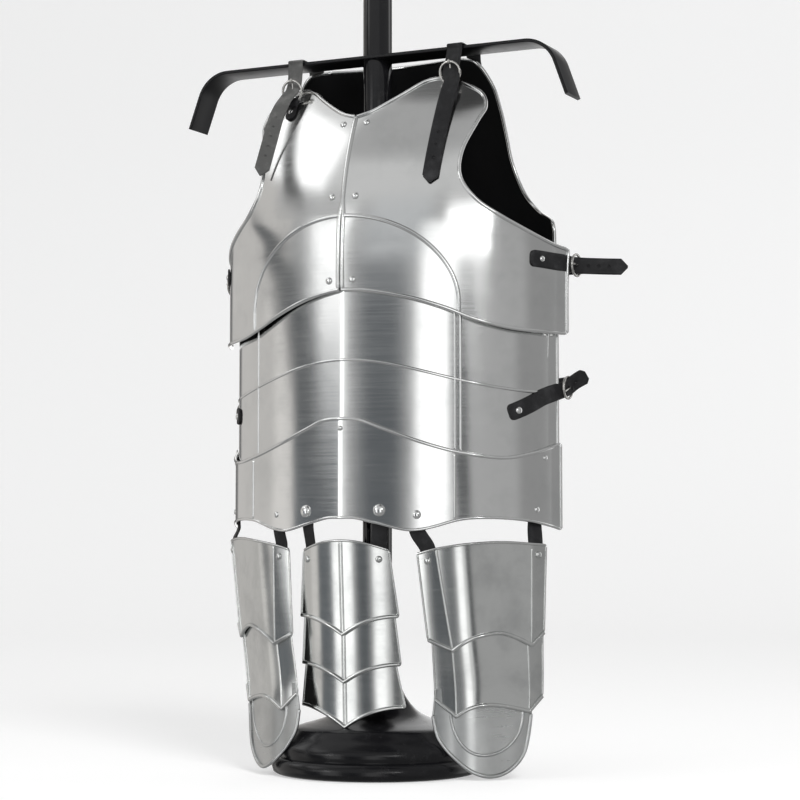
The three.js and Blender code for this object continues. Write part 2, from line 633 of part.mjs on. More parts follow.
function buildShoulder(side) {
  const { x, barX, backX, tipX, tipZ, ringZ, ringOut, tabZ } = SHOULDER[side];
  const lie = GAP + LEATHER / 2;
  const edge = BAR.depth / 2 + lie;
  const over = BAR.top + lie;
  const ringCentre = new THREE.Vector3(x, -edge - ringOut, ringZ);
  const tilt = THREE.MathUtils.degToRad(10);
  const along = new THREE.Vector3(0, -Math.sin(tilt), Math.cos(tilt));
  const across = new THREE.Vector3(1, 0, 0);
  // share of the way from the ring to the tip, and how far off the breast the strap stands
  const hangs = [[0, 14.5], [0.12, 12.5], [0.3, 8.5], [0.55, 5], [0.8, 3.4], [1, 3.2]];
  const startZ = ringZ - 15;
  const hanging = hangs.map(([share, away]) => {
    const at = { x: x + (tipX - x) * share, z: startZ + (tipZ - startZ) * share };
    return offBody(BREAST, at.x, at.z, away).toArray();
  });
  const points = [
    offBody(BACK, backX, BACK_STRAP_Z - 12, lie).toArray(),
    offBody(BACK, backX, BACK_STRAP_Z + 4, lie).toArray(),
    offBody(BACK, backX, 825, lie + 1.6).toArray(),
    [backX, 36, over + 0.8],
    [backX, BAR.depth / 2, over + 0.8],
    [barX, -BAR.depth / 2, over + 0.5],
    [barX, -edge - 0.6, BAR.top - BAR.thickness],
    [barX - (barX - x) * 0.5, -edge - 2, ringZ + 12],
    ringCentre.toArray(),
    ...hanging,
  ];
  const onBack = crossDirection(BACK, backX, BACK_STRAP_Z);
  const onBreast = crossDirection(BREAST, tipX, tipZ);
  const flat = shifting([
    { t: 0.14, direction: onBack },
    { t: 0.24, direction: across },
    { t: 0.62, direction: across },
    { t: 0.82, direction: onBreast },
  ]);
  const { buckle, room } = ringBuckle(ringCentre, along, across);
  const backHole = punch(
    onBody(BACK, backX, BACK_STRAP_Z), outwardAt(BACK, backX, BACK_STRAP_Z), RIVET.shank + GAP,
  );
  const strap = ribbon(points, STRAP_WIDTH, LEATHER, flat, 28).subtract(room).subtract(backHole);
  addPiece(`shoulder_strap_${side}`, strap, BLACK_LEATHER);
  addPiece(`shoulder_buckle_${side}`, buckle, NICKEL);

  const wire = ringCentre.clone().addScaledVector(along, -RING.radius);
  const wrap = RING.wire + GAP + LEATHER / 2;
  const tabPoints = [
    offBody(BREAST, x, tabZ - 10, lie).toArray(),
    offBody(BREAST, x, tabZ, lie).toArray(),
    offBody(BREAST, x, tabZ + 8, lie + 0.4).toArray(),
    [x, wire.y + wrap, wire.z],
    [x, wire.y + wrap * 0.7, wire.z + wrap * 0.7],
    [x, wire.y, wire.z + wrap],
    [x, wire.y - wrap * 0.7, wire.z + wrap * 0.7],
    [x, wire.y - wrap, wire.z],
  ];
  const turning = shifting([
    { t: 0.25, direction: crossDirection(BREAST, x, tabZ) },
    { t: 0.6, direction: across },
  ]);
  const tabHole = punch(onBody(BREAST, x, tabZ), outwardAt(BREAST, x, tabZ), RIVET.shank + GAP);
  const tab = ribbon(tabPoints, STRAP_WIDTH - 3, LEATHER, turning, 12);
  addPiece(`shoulder_tab_${side}`, tab.subtract(tabHole).subtract(room), BLACK_LEATHER);
}

function buildSideStrap(name, side, sign, table, { x, z, buckleZ, tip }) {
  // Riveted to the front plate, through a ring by the plate's edge, free end standing out.
  // Worked out for the left; the right one is the same with its x turned round.
  const lie = GAP + LEATHER / 2;
  const up = new THREE.Vector3(0, 0, 1);
  const reach = columnAt(table, 'halfWidth', z);
  const rim = onBody(table, reach, z);
  const start = Math.abs(x);
  const climb = (buckleZ - z) / 66;
  const first = girthAt(table, start - 7, z);
  const last = girthAt(table, reach - 0.05, z);
  const runs = [0, 0.25, 0.5, 0.75, 0.94].map((share) => (
    bodyPoint(table, first + (last - first) * share, z).x
  ));
  const onPlate = runs.map((run) => {
    const level = z + (onBody(table, run, z).y - onBody(table, start, z).y) * climb;
    return offBody(table, run, level, lie).toArray();
  });
  const ringCentre = new THREE.Vector3(reach + 7.5, rim.y + 14, buckleZ);
  const along = new THREE.Vector3(0.06, 1, climb).normalize();
  const end = new THREE.Vector3(Math.abs(tip[0]), tip[1], tip[2]);
  const beforeEnd = ringCentre.clone().lerp(end, 0.5);
  const points = [
    ...onPlate,
    ringCentre.toArray(),
    [beforeEnd.x - 3, beforeEnd.y + 1.5, beforeEnd.z],
    end.toArray(),
  ];
  const widthOn = (direction) => up.clone().addScaledVector(direction, -climb).normalize();
  const across = shifting([
    ...runs.map((x, i) => ({
      t: i / (points.length - 1),
      direction: widthOn(crossDirection(table, x, z)),
    })),
    { t: 0.75, direction: widthOn(new THREE.Vector3(0, 1, 0)) },
  ]);
  const { buckle, room } = ringBuckle(ringCentre, along, widthOn(new THREE.Vector3(0, 1, 0)));
  const hole = punch(onBody(table, start, z), outwardAt(table, start, z), RIVET.shank + GAP);
  const strap = ribbon(points, STRAP_WIDTH, LEATHER, across, 16).subtract(room).subtract(hole);

  const wire = ringCentre.clone().addScaledVector(along, RING.radius);
  const wrap = RING.wire + GAP + LEATHER / 2;
  const tabPoints = [
    [wire.x + wrap, wire.y - 0.5, wire.z],
    [wire.x + wrap * 0.5, wire.y + wrap * 0.87, wire.z],
    [wire.x - wrap * 0.5, wire.y + wrap, wire.z],
    [wire.x - 14, wire.y + wrap + 1, wire.z],
    offBody(BACK, BACK_TAB_X + 8, buckleZ, lie + 0.6).toArray(),
    offBody(BACK, BACK_TAB_X, buckleZ, lie).toArray(),
    offBody(BACK, BACK_TAB_X - 9, buckleZ, lie).toArray(),
  ];
  const tabHole = punch(
    onBody(BACK, BACK_TAB_X, buckleZ), outwardAt(BACK, BACK_TAB_X, buckleZ), RIVET.shank + GAP,
  );
  const tab = ribbon(tabPoints, STRAP_WIDTH - 3, LEATHER, () => up, 12);
  const face = (solid) => (sign < 0 ? mirrored(solid) : solid);
  addPiece(`${name}_strap_${side}`, face(strap), BLACK_LEATHER);
  addPiece(`${name}_buckle_${side}`, face(buckle), NICKEL);
  addPiece(`${name}_tab_${side}`, face(tab.subtract(tabHole).subtract(room)), BLACK_LEATHER);
}

// ---------------------------------------------------------------- stand
const BASE_PROFILE = [
  [0, 0], [114, 0], [120, 3], [122, 9], [119, 17.5], [113.5, 20.5],
  [115, 30], [105, 42], [95, 53], [62, 63], [45, 73], [33, 88], [25, 106], [22.5, 112], [0, 112],
];

function barRoute(step) {
  // Tail, bend, straight, bend, tail: 20 steps along the top face from -X to +X.
  const turn = THREE.MathUtils.degToRad(BAR.turn);
  const half = (k) => {
    if (k <= 1) return [BAR.straight * k, BAR.top];
    const angle = turn * Math.min((k - 1) / 8, 1);
    const tail = BAR.tail * Math.max(k - 9, 0);
    const x = BAR.straight + BAR.bend * Math.sin(angle) + tail * Math.cos(angle);
    return [x, BAR.top - BAR.bend * (1 - Math.cos(angle)) - tail * Math.sin(angle)];
  };
  const [x, z] = half(Math.abs(step - 10));
  return new THREE.Vector3(Math.sign(step - 10) * x, 0, z);
}

function buildStand() {
  const pole = turned([
    [0, BASE_BORE_DEPTH], [POLE_RADIUS, BASE_BORE_DEPTH], [POLE_RADIUS, POLE_TOP - 3],
    [POLE_RADIUS - 4, POLE_TOP], [0, POLE_TOP],
  ], 24);
  addPiece('stand_pole', toSolid(pole), BLACK_LACQUER);
  const bore = (from, to) => toSolid(turned([
    [0, from], [POLE_RADIUS + GAP, from], [POLE_RADIUS + GAP, to], [0, to],
  ], 24));
  const top = (u, v) => barRoute(u * 20).add(new THREE.Vector3(0, (v - 0.5) * BAR.depth, 0));
  const bar = bentSheet([20, 1], top, BAR.thickness);
  addPiece('stand_crossbar', bar.subtract(bore(BAR.top - 40, BAR.top + 40)), BLACK_LACQUER);
  const base = toSolid(turned(BASE_PROFILE, 36));
  addPiece('stand_base', base.subtract(bore(BASE_BORE_DEPTH - GAP, 200)), BLACK_LACQUER);
}

// ---------------------------------------------------------------- the whole
buildBreast();
buildWaist();
buildFauld();
buildBack();
SIDES.forEach(({ side, sign }) => {
  buildShoulder(side);
  buildSideStrap('upper', side, sign, BREAST, UPPER_STRAP[side]);
  buildSideStrap('lower', side, sign, WAIST, LOWER_STRAP[side]);
  buildSideTasset(side);
});
buildCentreTasset();
buildHangers();
buildStand();

export default cuirass;
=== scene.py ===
"""Looks for a polished steel cuirass with three tassets, hanging on a black display stand.

Every shape is a function of two parameters, or a profile carried along a path, worked out in
millimetres as whole arrays and put into a mesh in metres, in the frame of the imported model.
+Z is up, the chest faces -Y and +X is the wearer's left.
"""

import logging
import math
import sys
from dataclasses import dataclass
from enum import Enum
from typing import Callable, Optional, Sequence

import bpy
import numpy as np
from mathutils import Matrix, Vector

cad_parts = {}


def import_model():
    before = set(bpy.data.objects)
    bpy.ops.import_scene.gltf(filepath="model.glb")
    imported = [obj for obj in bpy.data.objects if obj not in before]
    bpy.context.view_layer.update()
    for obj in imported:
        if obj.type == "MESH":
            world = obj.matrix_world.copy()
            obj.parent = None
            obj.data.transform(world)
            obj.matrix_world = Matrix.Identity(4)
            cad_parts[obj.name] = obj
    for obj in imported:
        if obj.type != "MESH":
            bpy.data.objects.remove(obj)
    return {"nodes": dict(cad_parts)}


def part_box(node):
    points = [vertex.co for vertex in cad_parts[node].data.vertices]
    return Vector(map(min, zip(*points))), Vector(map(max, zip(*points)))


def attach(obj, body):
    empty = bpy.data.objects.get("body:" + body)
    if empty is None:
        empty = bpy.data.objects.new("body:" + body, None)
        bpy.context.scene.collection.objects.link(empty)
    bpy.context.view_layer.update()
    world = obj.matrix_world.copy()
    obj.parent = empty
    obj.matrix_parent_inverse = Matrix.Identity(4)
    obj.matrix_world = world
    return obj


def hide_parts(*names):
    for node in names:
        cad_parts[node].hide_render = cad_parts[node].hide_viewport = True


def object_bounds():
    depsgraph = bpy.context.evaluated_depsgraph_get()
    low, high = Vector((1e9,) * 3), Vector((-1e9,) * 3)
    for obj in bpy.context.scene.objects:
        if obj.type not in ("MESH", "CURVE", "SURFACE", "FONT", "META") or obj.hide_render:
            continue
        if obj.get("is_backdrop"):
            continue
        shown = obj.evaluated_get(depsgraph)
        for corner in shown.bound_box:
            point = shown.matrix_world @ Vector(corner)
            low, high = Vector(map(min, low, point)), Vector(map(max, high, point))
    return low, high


Array = np.ndarray
Surface = Callable[[Array, Array], Array]
Line = Callable[[Array], Array]
Socket = bpy.types.NodeSocket

MM = 0.001
PLATE = 1.5
LEATHER = 2.4
GAP = 0.4
EDGE_ROUNDNESS = 0.2
EDGE_ANGLE = math.acos(EDGE_ROUNDNESS)
KEEL_WIDTH = 110.0
SIDE_RADIUS = 172.0
CREASE = 11.0
CREASE_FADE = 85.0

log = logging.getLogger("cuirass")


class Side(Enum):
    """The wearer's side, with the sign of its X."""

    LEFT = 1
    RIGHT = -1

    @property
    def word(self) -> str:
        """The side's name as it is used in node names."""
        return self.name.lower()


class Role(Enum):
    """Which face of a plate a polygon belongs to: its index in the piece's materials."""

    FACE = 0
    LINING = 1


# ------------------------------------------------------------------ curves


def spline(points: Sequence[Sequence[float]]) -> Callable[[Array], Array]:
    """A smooth line through points, evenly shared between them.

    Each stretch is a cubic whose slope at a point is half the chord between its neighbours.

    Args:
        points: The points, each of two or three numbers.

    Returns:
        A function from t in 0..1 to points on the line.
    """
    knots = np.asarray(points, float)
    padded = np.vstack([knots[:1], knots, knots[-1:]])

    def at(t: Array) -> Array:
        """Points on the line at t."""
        place = np.clip(np.asarray(t, float), 0, 1) * (len(knots) - 1)
        index = np.minimum(place.astype(int), len(knots) - 2)
        s = (place - index)[..., None]
        p0, p1, p2, p3 = (padded[index + k] for k in range(4))
        v0, v1 = (p2 - p0) / 2, (p3 - p1) / 2
        return (2 * p1 - 2 * p2 + v0 + v1) * s**3 + (-3 * p1 + 3 * p2 - 2 * v0 - v1) * s**2 + v0 * s + p1

    return at


def chain(points: Sequence[Sequence[float]]) -> Callable[[Array], Array]:
    """Straight links through points, each taking an equal share of t.

    Args:
        points: The corners of the line.

    Returns:
        A function from t in 0..1 to points on the line.
    """
    knots = np.asarray(points, float)

    def at(t: Array) -> Array:
        """Points on the line at t."""
        place = np.clip(np.asarray(t, float), 0, 1) * (len(knots) - 1)
        index = np.minimum(place.astype(int), len(knots) - 2)
        s = (place - index)[..., None]
        return knots[index] * (1 - s) + knots[index + 1] * s

    return at


def scallops(points: Sequence[Sequence[float]], cusps: Sequence[int]) -> Callable[[Array], Array]:
    """A smooth line that comes to a point at some of its points.

    Args:
        points: The points of the line.
        cusps: Indices of the points where the line turns sharply.

    Returns:
        A function from t in 0..1 to points on the line, each stretch between two points
        taking an equal share.
    """
    stops = [0, *cusps, len(points) - 1]
    parts = [spline(points[a : b + 1]) for a, b in zip(stops, stops[1:])]

    def at(t: Array) -> Array:
        """Points on the line at t."""
        place = np.clip(np.asarray(t, float), 0, 1) * (len(points) - 1)
        out = np.zeros((*place.shape, 2))
        for part, low, high in zip(parts, stops, stops[1:]):
            inside = (place >= low) & (place <= high)
            out[inside] = part((place[inside] - low) / (high - low))
        return out

    return at


def joined(first: Callable, second: Callable, share: float) -> Callable[[Array], Array]:
    """Two lines one after the other, the first taking a share of t."""

    def at(t: Array) -> Array:
        """Points on the joined line at t."""
        t = np.asarray(t, float)
        early = first(np.clip(t / share, 0, 1))
        late = second(np.clip((t - share) / (1 - share), 0, 1))
        return np.where((t < share)[..., None], early, late)

    return at


def height_on(points: Sequence[Sequence[float]], x: Array) -> Array:
    """Height of the smooth line through [x, z] points over x, by lookup along the line."""
    line = spline(points)(np.linspace(0, 1, 400))
    return np.interp(x, line[:, 0], line[:, 1])


def smoothstep(low: float, high: float, value: Array) -> Array:
    """Rises from 0 at low to 1 at high, level at both ends."""
    t = np.clip((value - low) / (high - low), 0, 1)
    return t * t * (3 - 2 * t)


def unit(vectors: Array) -> Array:
    """Vectors scaled to length one."""
    return vectors / np.maximum(np.linalg.norm(vectors, axis=-1, keepdims=True), 1e-9)


# ------------------------------------------------------------------ the body's surfaces


@dataclass(frozen=True)
class Section:
    """Horizontal sections of the body, a row for each height.

    Half of a section is an arc that starts square to the front and turns almost to face
    sideways: x = W sin g / sin G and the fall to the back is D (1 - cos g) / (1 - r), where g
    runs from 0 to G = acos r. A low centre ridge is added in front.

    Attributes:
        rows: Height, half width W, depth D, Y of the front, and rise of the ridge.
        facing: 1 for the front, -1 for the back.
        flange: Depth of the crease 11 mm from the side edge, past which the plate turns out.
    """

    rows: Sequence[Sequence[float]]
    facing: int = 1
    flange: float = 0.0

    def column(self, index: int, z: Array) -> Array:
        """One column at heights z, by a cubic whose slopes are those of the neighbours' chords."""
        table = np.asarray(self.rows, float)
        heights, values = table[:, 0], table[:, index]
        before = np.maximum(np.arange(len(heights)) - 1, 0)
        after = np.minimum(np.arange(len(heights)) + 1, len(heights) - 1)
        slopes = (values[after] - values[before]) / (heights[after] - heights[before])
        z = np.clip(z, heights[0], heights[-1])
        i = np.clip(np.searchsorted(heights, z) - 1, 0, len(heights) - 2)
        span = heights[i + 1] - heights[i]
        t = (z - heights[i]) / span
        h = t * t * (3 - 2 * t)
        rise = t * (1 - t) * ((1 - t) * slopes[i] - t * slopes[i + 1]) * span
        return values[i] * (1 - h) + values[i + 1] * h + rise

    def girth_at(self, x: Array, z: Array) -> Array:
        """The angle round the section at which the surface is x from the centre."""
        reach = math.sin(EDGE_ANGLE) * np.abs(x) / self.column(1, z)
        return np.sign(x) * np.arcsin(np.minimum(reach, 1))

    def point(self, girth: Array, z: Array) -> Array:
        """Points of the surface.

        Args:
            girth: Angle round the section.
            z: Height.

        Returns:
            An array of points.
        """
        angle = np.abs(girth)
        x = self.column(1, z) * np.sin(girth) / math.sin(EDGE_ANGLE)
        keel = self.column(4, z)
        fade = np.maximum(1 - np.abs(x) / KEEL_WIDTH, 0)
        fall = (self.column(2, z) - keel) * (1 - np.cos(angle)) / (1 - EDGE_ROUNDNESS)
        y = self.column(3, z) + self.facing * (fall + keel * (1 - fade**2))
        from_edge = (EDGE_ANGLE - angle) * SIDE_RADIUS
        past = 1 - smoothstep(CREASE, CREASE_FADE, from_edge)
        dip = np.where(from_edge < CREASE, from_edge / CREASE, past) * self.flange
        return np.stack([x - np.sign(girth) * dip, y + self.facing * dip * 0.2, z], -1)

    def on(self, x: Array, z: Array) -> Array:
        """Points of the surface at x, z."""
        x, z = np.broadcast_arrays(np.asarray(x, float), np.asarray(z, float))
        return self.point(self.girth_at(x, z), z)

    def normal(self, girth: Array, z: Array) -> Array:
        """Outward normals at girth, z, from differences."""
        across = self.point(girth + 1e-3, z) - self.point(girth - 1e-3, z)
        up = self.point(girth, z + 0.5) - self.point(girth, z - 0.5)
        return unit(np.cross(across, up)) * self.facing

    def panel(self, places: Array) -> "Panel":
        """The part of the surface over a grid of girth, z pairs."""
        girth, z = places[..., 0], places[..., 1]
        return Panel(self.point(girth, z), self.normal(girth, z))

    def at(self, x: Array, z: Array, away: float = 0.0) -> "Panel":
        """Points and normals at x, z, a distance off the surface."""
        x, z = np.broadcast_arrays(np.asarray(x, float), np.asarray(z, float))
        here = self.panel(np.stack([self.girth_at(x, z), z], -1))
        return Panel(here.points + here.normals * away, here.normals)

    def sideways(self, x: float, z: float) -> Array:
        """The direction along the surface at one height, towards +X."""
        return unit(self.on(x + 0.5, z) - self.on(x - 0.5, z))


class Edge(Enum):
    """An edge of a panel, as an index into its rows or columns."""

    LOW = (0, slice(None))
    HIGH = (-1, slice(None))
    NEAR = (slice(None), 0)
    FAR = (slice(None), -1)


@dataclass
class Panel:
    """A grid or a line of points on a surface, with its outward normals."""

    points: Array
    normals: Array

    @classmethod
    def over(cls, surface: Surface, x: Array, z: Array, away: Array | float = 0.0) -> "Panel":
        """Points of a front surface over x, z, with normals from differences, moved outwards."""
        x, z = np.broadcast_arrays(np.asarray(x, float), np.asarray(z, float))
        across = surface(x + 0.4, z) - surface(x - 0.4, z)
        up = surface(x, z + 0.4) - surface(x, z - 0.4)
        normals = unit(np.cross(across, up))
        return cls(surface(x, z) + normals * np.asarray(away)[..., None], normals)

    def edge(self, which: Edge) -> "Panel":
        """One edge of the grid, as a line."""
        return Panel(self.points[which.value], self.normals[which.value])

    def part(self, low: int, high: Optional[int]) -> "Panel":
        """A stretch of a line."""
        return Panel(self.points[low:high], self.normals[low:high])

    def reversed(self) -> bool:
        """Whether rows and columns turn the other way than the normals say."""
        turn = np.cross(np.gradient(self.points, axis=1), np.gradient(self.points, axis=0))
        return float((turn * self.normals).sum()) < 0


BREAST = Section(
    [
        [480, 222, 138, -96, 5],
        [556, 222, 138, -96, 5],
        [600, 221, 136, -95.5, 5],
        [642, 218, 130, -92, 4],
        [700, 208, 116, -79, 3],
        [760, 196, 98, -55, 2],
        [815, 186, 80, -22, 1],
    ],
    flange=2.6,
)
WAIST = Section([[280, 209, 135, -91, 5], [600, 209, 135, -91, 5]], flange=2.6)
FAULD = Section([[0, 213, 138.5, -95, 5], [420, 213, 138.5, -95, 5]], flange=2.6)
BACK = Section(
    [
        [290, 202, 98, 130, 0],
        [400, 200.5, 94, 124, 0],
        [500, 201.5, 94, 124, 0],
        [545, 206, 97, 127, 0],
        [600, 214, 99, 129, 0],
        [640, 213, 99, 127, 0],
        [700, 208, 100, 117, 0],
        [760, 204, 102, 97, 0],
        [800, 200, 104, 76, 0],
        [836, 196, 106, 52, 0],
    ],
    facing=-1,
)


# ------------------------------------------------------------------ meshes


class Shape:
    """Collects surfaces into the mesh of one piece."""

    def __init__(self) -> None:
        """Starts with nothing in it."""
        self.points: list[Array] = []
        self.faces: list[list[int]] = []
        self.roles: list[int] = []
        self.count = 0

    def add(self, points: Array, faces: Sequence[Sequence[int]], role: Role = Role.FACE) -> None:
        """Adds points and the faces between them."""
        self.points.append(np.asarray(points, float).reshape(-1, 3))
        self.faces.extend((np.asarray(faces) + self.count).tolist())
        self.roles.extend([role.value] * len(faces))
        self.count += len(self.points[-1])

    def sheet(self, panel: "Panel", thickness: float, lining: bool = True) -> None:
        """A closed plate: a grid, its copy a thickness further in, and a strip round the edge.

        Args:
            panel: The outer face.
            thickness: Distance between the two faces.
            lining: Whether the inner face takes the lining's finish.
        """
        rows, columns = panel.points.shape[:2]
        inner = panel.points - panel.normals * thickness
        index = np.arange(rows * columns).reshape(rows, columns)
        corners = [index[:-1, :-1], index[:-1, 1:], index[1:, 1:], index[1:, :-1]]
        quads = np.stack(corners, -1).reshape(-1, 4)
        ring = np.concatenate([index[0, :-1], index[:-1, -1], index[-1, :0:-1], index[:0:-1, 0]])
        after = np.roll(ring, -1)
        far = rows * columns
        edge = np.stack([ring, ring + far, after + far, after], -1)
        if panel.reversed():
            quads, edge = quads[:, ::-1], edge[:, ::-1]
        start = self.count
        self.add(np.concatenate([panel.points.reshape(-1, 3), inner.reshape(-1, 3)]), quads)
        self.patch(edge + start, Role.FACE)
        self.patch(quads[:, ::-1] + far + start, Role.LINING if lining else Role.FACE)

    def patch(self, faces: Array, role: Role) -> None:
        """Faces between points that are already there."""
        self.faces.extend(np.asarray(faces).tolist())
        self.roles.extend([role.value] * len(faces))

    def tube(
        self, path: Array, normal: Array, wide: float, high: float, sides: int = 10, closed: bool = False
    ) -> None:
        """An oval bead along a path, rounded off at its ends.

        Args:
            path: Points of its middle line.
            normal: The direction of its height, one for all points or one for each.
            wide: Half its width, square to the path and the normal.
            high: Half its height.
            sides: Corners of its section.
            closed: Whether the path joins up with its start.
        """
        path = np.asarray(path, float)
        along = unit(np.roll(path, -1, 0) - np.roll(path, 1, 0) if closed else np.gradient(path, axis=0))
        normal = np.broadcast_to(np.asarray(normal, float), path.shape)
        across = unit(np.cross(normal, along))
        lift = unit(np.cross(along, across))
        angle = np.linspace(0, 2 * math.pi, sides, endpoint=False)
        taper = np.ones(len(path))
        if not closed:
            taper[[0, -1]] = 0.4
        ring = across[:, None] * np.cos(angle)[None, :, None] * wide
        ring = ring + lift[:, None] * np.sin(angle)[None, :, None] * high
        points = path[:, None] + ring * taper[:, None, None]
        self.loops(points, closed)

    def loops(self, rings: Array, closed: bool = False, role: Role = Role.FACE) -> None:
        """Joins rings of points, each closed on itself, into a tube with flat ends.

        Args:
            rings: Points by ring and by place in the ring, clockwise looking along the path.
            closed: Whether the last ring joins the first.
            role: The finish that the faces take.
        """
        many, sides = rings.shape[:2]
        index = np.arange(many * sides).reshape(many, sides)
        here = index if closed else index[:-1]
        there = np.roll(index, -1, 0) if closed else index[1:]
        quads = np.stack([here, np.roll(here, -1, 1), np.roll(there, -1, 1), there], -1).reshape(-1, 4)
        start = self.count
        self.add(rings.reshape(-1, 3), quads, role)
        if closed:
            return
        for ring, turned in ((index[0], True), (index[-1], False)):
            middle = self.count
            self.add(rings.reshape(-1, 3)[ring].mean(0)[None], np.zeros((0, 3), int), role)
            pairs = np.stack([ring, np.roll(ring, -1)], -1) + start
            if turned:
                pairs = pairs[:, ::-1]
            fan = np.concatenate([pairs, np.full((len(pairs), 1), middle)], 1)
            self.patch(fan, role)

    def turned(
        self, profile: Sequence[Sequence[float]], centre: Array, axis: Array, sides: int = 20
    ) -> None:
        """A lathe shape: [radius, height] pairs carried round an axis.

        Args:
            profile: Radius and height along the axis, from the low end to the high one.
            centre: The point at height 0.
            axis: The direction of height.
            sides: Corners of each ring.
        """
        axis = unit(np.asarray(axis, float))
        hint = np.array([0.0, 0.0, 1.0]) if abs(axis[2]) < 0.9 else np.array([1.0, 0.0, 0.0])
        one = unit(np.cross(hint, axis))
        two = np.cross(axis, one)
        angle = np.linspace(0, 2 * math.pi, sides, endpoint=False)
        spokes = one[None] * np.cos(angle)[:, None] + two[None] * np.sin(angle)[:, None]
        radii, heights = np.asarray(profile, float).T
        rings = np.asarray(centre, float) + spokes[None] * radii[:, None, None]
        rings = rings + axis * heights[:, None, None]
        self.loops(rings)

    def bead(self, line: Panel, wide: float, high: float, lift: float = 0.0, sides: int = 10) -> None:
        """A bead along a line on a surface, its middle a lift above it."""
        self.tube(line.points + line.normals * lift, line.normals, wide, high, sides)

    def rivet(self, at: Panel, radius: float, dome: float, lift: float = 0.0) -> None:
        """A round rivet head: a flattened half ball, h = dome sqrt(1 - (r / radius)^2).

        Args:
            at: The place on the surface where it sits.
            radius: Of the head.
            dome: Height of the head.
            lift: Height of what the rivet holds above the point.
        """
        angle = np.linspace(0, math.pi / 2, 7)
        curve = [[radius * 0.9, -0.6], [radius, 0.05]]
        curve += [[radius * math.cos(a) + 0.001, 0.15 + dome * math.sin(a)] for a in angle[1:]]
        self.turned(curve, at.points + at.normals * lift, at.normals)

    def face(self, side: Side) -> None:
        """Turns a left shape into its right twin: X changes sign and faces turn round."""
        if side is Side.RIGHT:
            self.points = [points * np.array([-1, 1, 1]) for points in self.points]
            self.faces = [face[::-1] for face in self.faces]

    def finish(
        self, name: str, looks: Sequence[bpy.types.Material], slot: str, replaces: Sequence[str]
    ) -> bpy.types.Object:
        """Puts the shape into a mesh in metres and hangs it on the frame.

        Args:
            name: The piece's name.
            looks: Materials by role.
            slot: The record's material slot; not used.
            replaces: CAD nodes that the piece stands for.

        Returns:
            The piece.
        """
        mesh = bpy.data.meshes.new(name)
        mesh.from_pydata((np.concatenate(self.points) * MM).tolist(), [], self.faces)
        for look in looks:
            mesh.materials.append(look)
        mesh.polygons.foreach_set("material_index", np.asarray(self.roles, np.int32))
        mesh.polygons.foreach_set("use_smooth", np.ones(len(mesh.polygons), bool))
        mesh.set_sharp_from_angle(angle=math.radians(42))
        mesh.update()
        piece = bpy.data.objects.new(name, mesh)
        bpy.context.scene.collection.objects.link(piece)
        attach(piece, "root")
        if replaces:
            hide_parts(*replaces)
        log.info("%s: %d points, %d faces", name, self.count, len(self.faces))
        return piece


def patch_grid(bottom: Line, top: Line, inner: Line, outer: Line, u: Array, v: Array) -> Array:
    """A Coons patch: blends four edge lines into one sheet, less the corners counted twice.

    Args:
        bottom: Line along u at v = 0.
        top: Line along u at v = 1.
        inner: Line along v at u = 0.
        outer: Line along v at u = 1.
        u: Places across.
        v: Places up.

    Returns:
        Rows of points, by v and u.
    """
    across, up = u[None, :, None], v[:, None, None]
    ends = np.array([0.0, 1.0])
    low, high = bottom(u)[None], top(u)[None]
    near, far = inner(v)[:, None], outer(v)[:, None]
    (low0, low1), (high0, high1) = bottom(ends), top(ends)
    corners = low0 * (1 - across) * (1 - up) + low1 * across * (1 - up)
    corners = corners + high0 * (1 - across) * up + high1 * across * up
    return low * (1 - up) + high * up + near * (1 - across) + far * across - corners


def crowded(count: int, ends: float = 0.5) -> Array:
    """Places from 0 to 1, closer together towards both ends."""
    t = np.linspace(0, 1, count)
    return t - ends * np.sin(2 * math.pi * t) / (2 * math.pi)


# ------------------------------------------------------------------ finishes


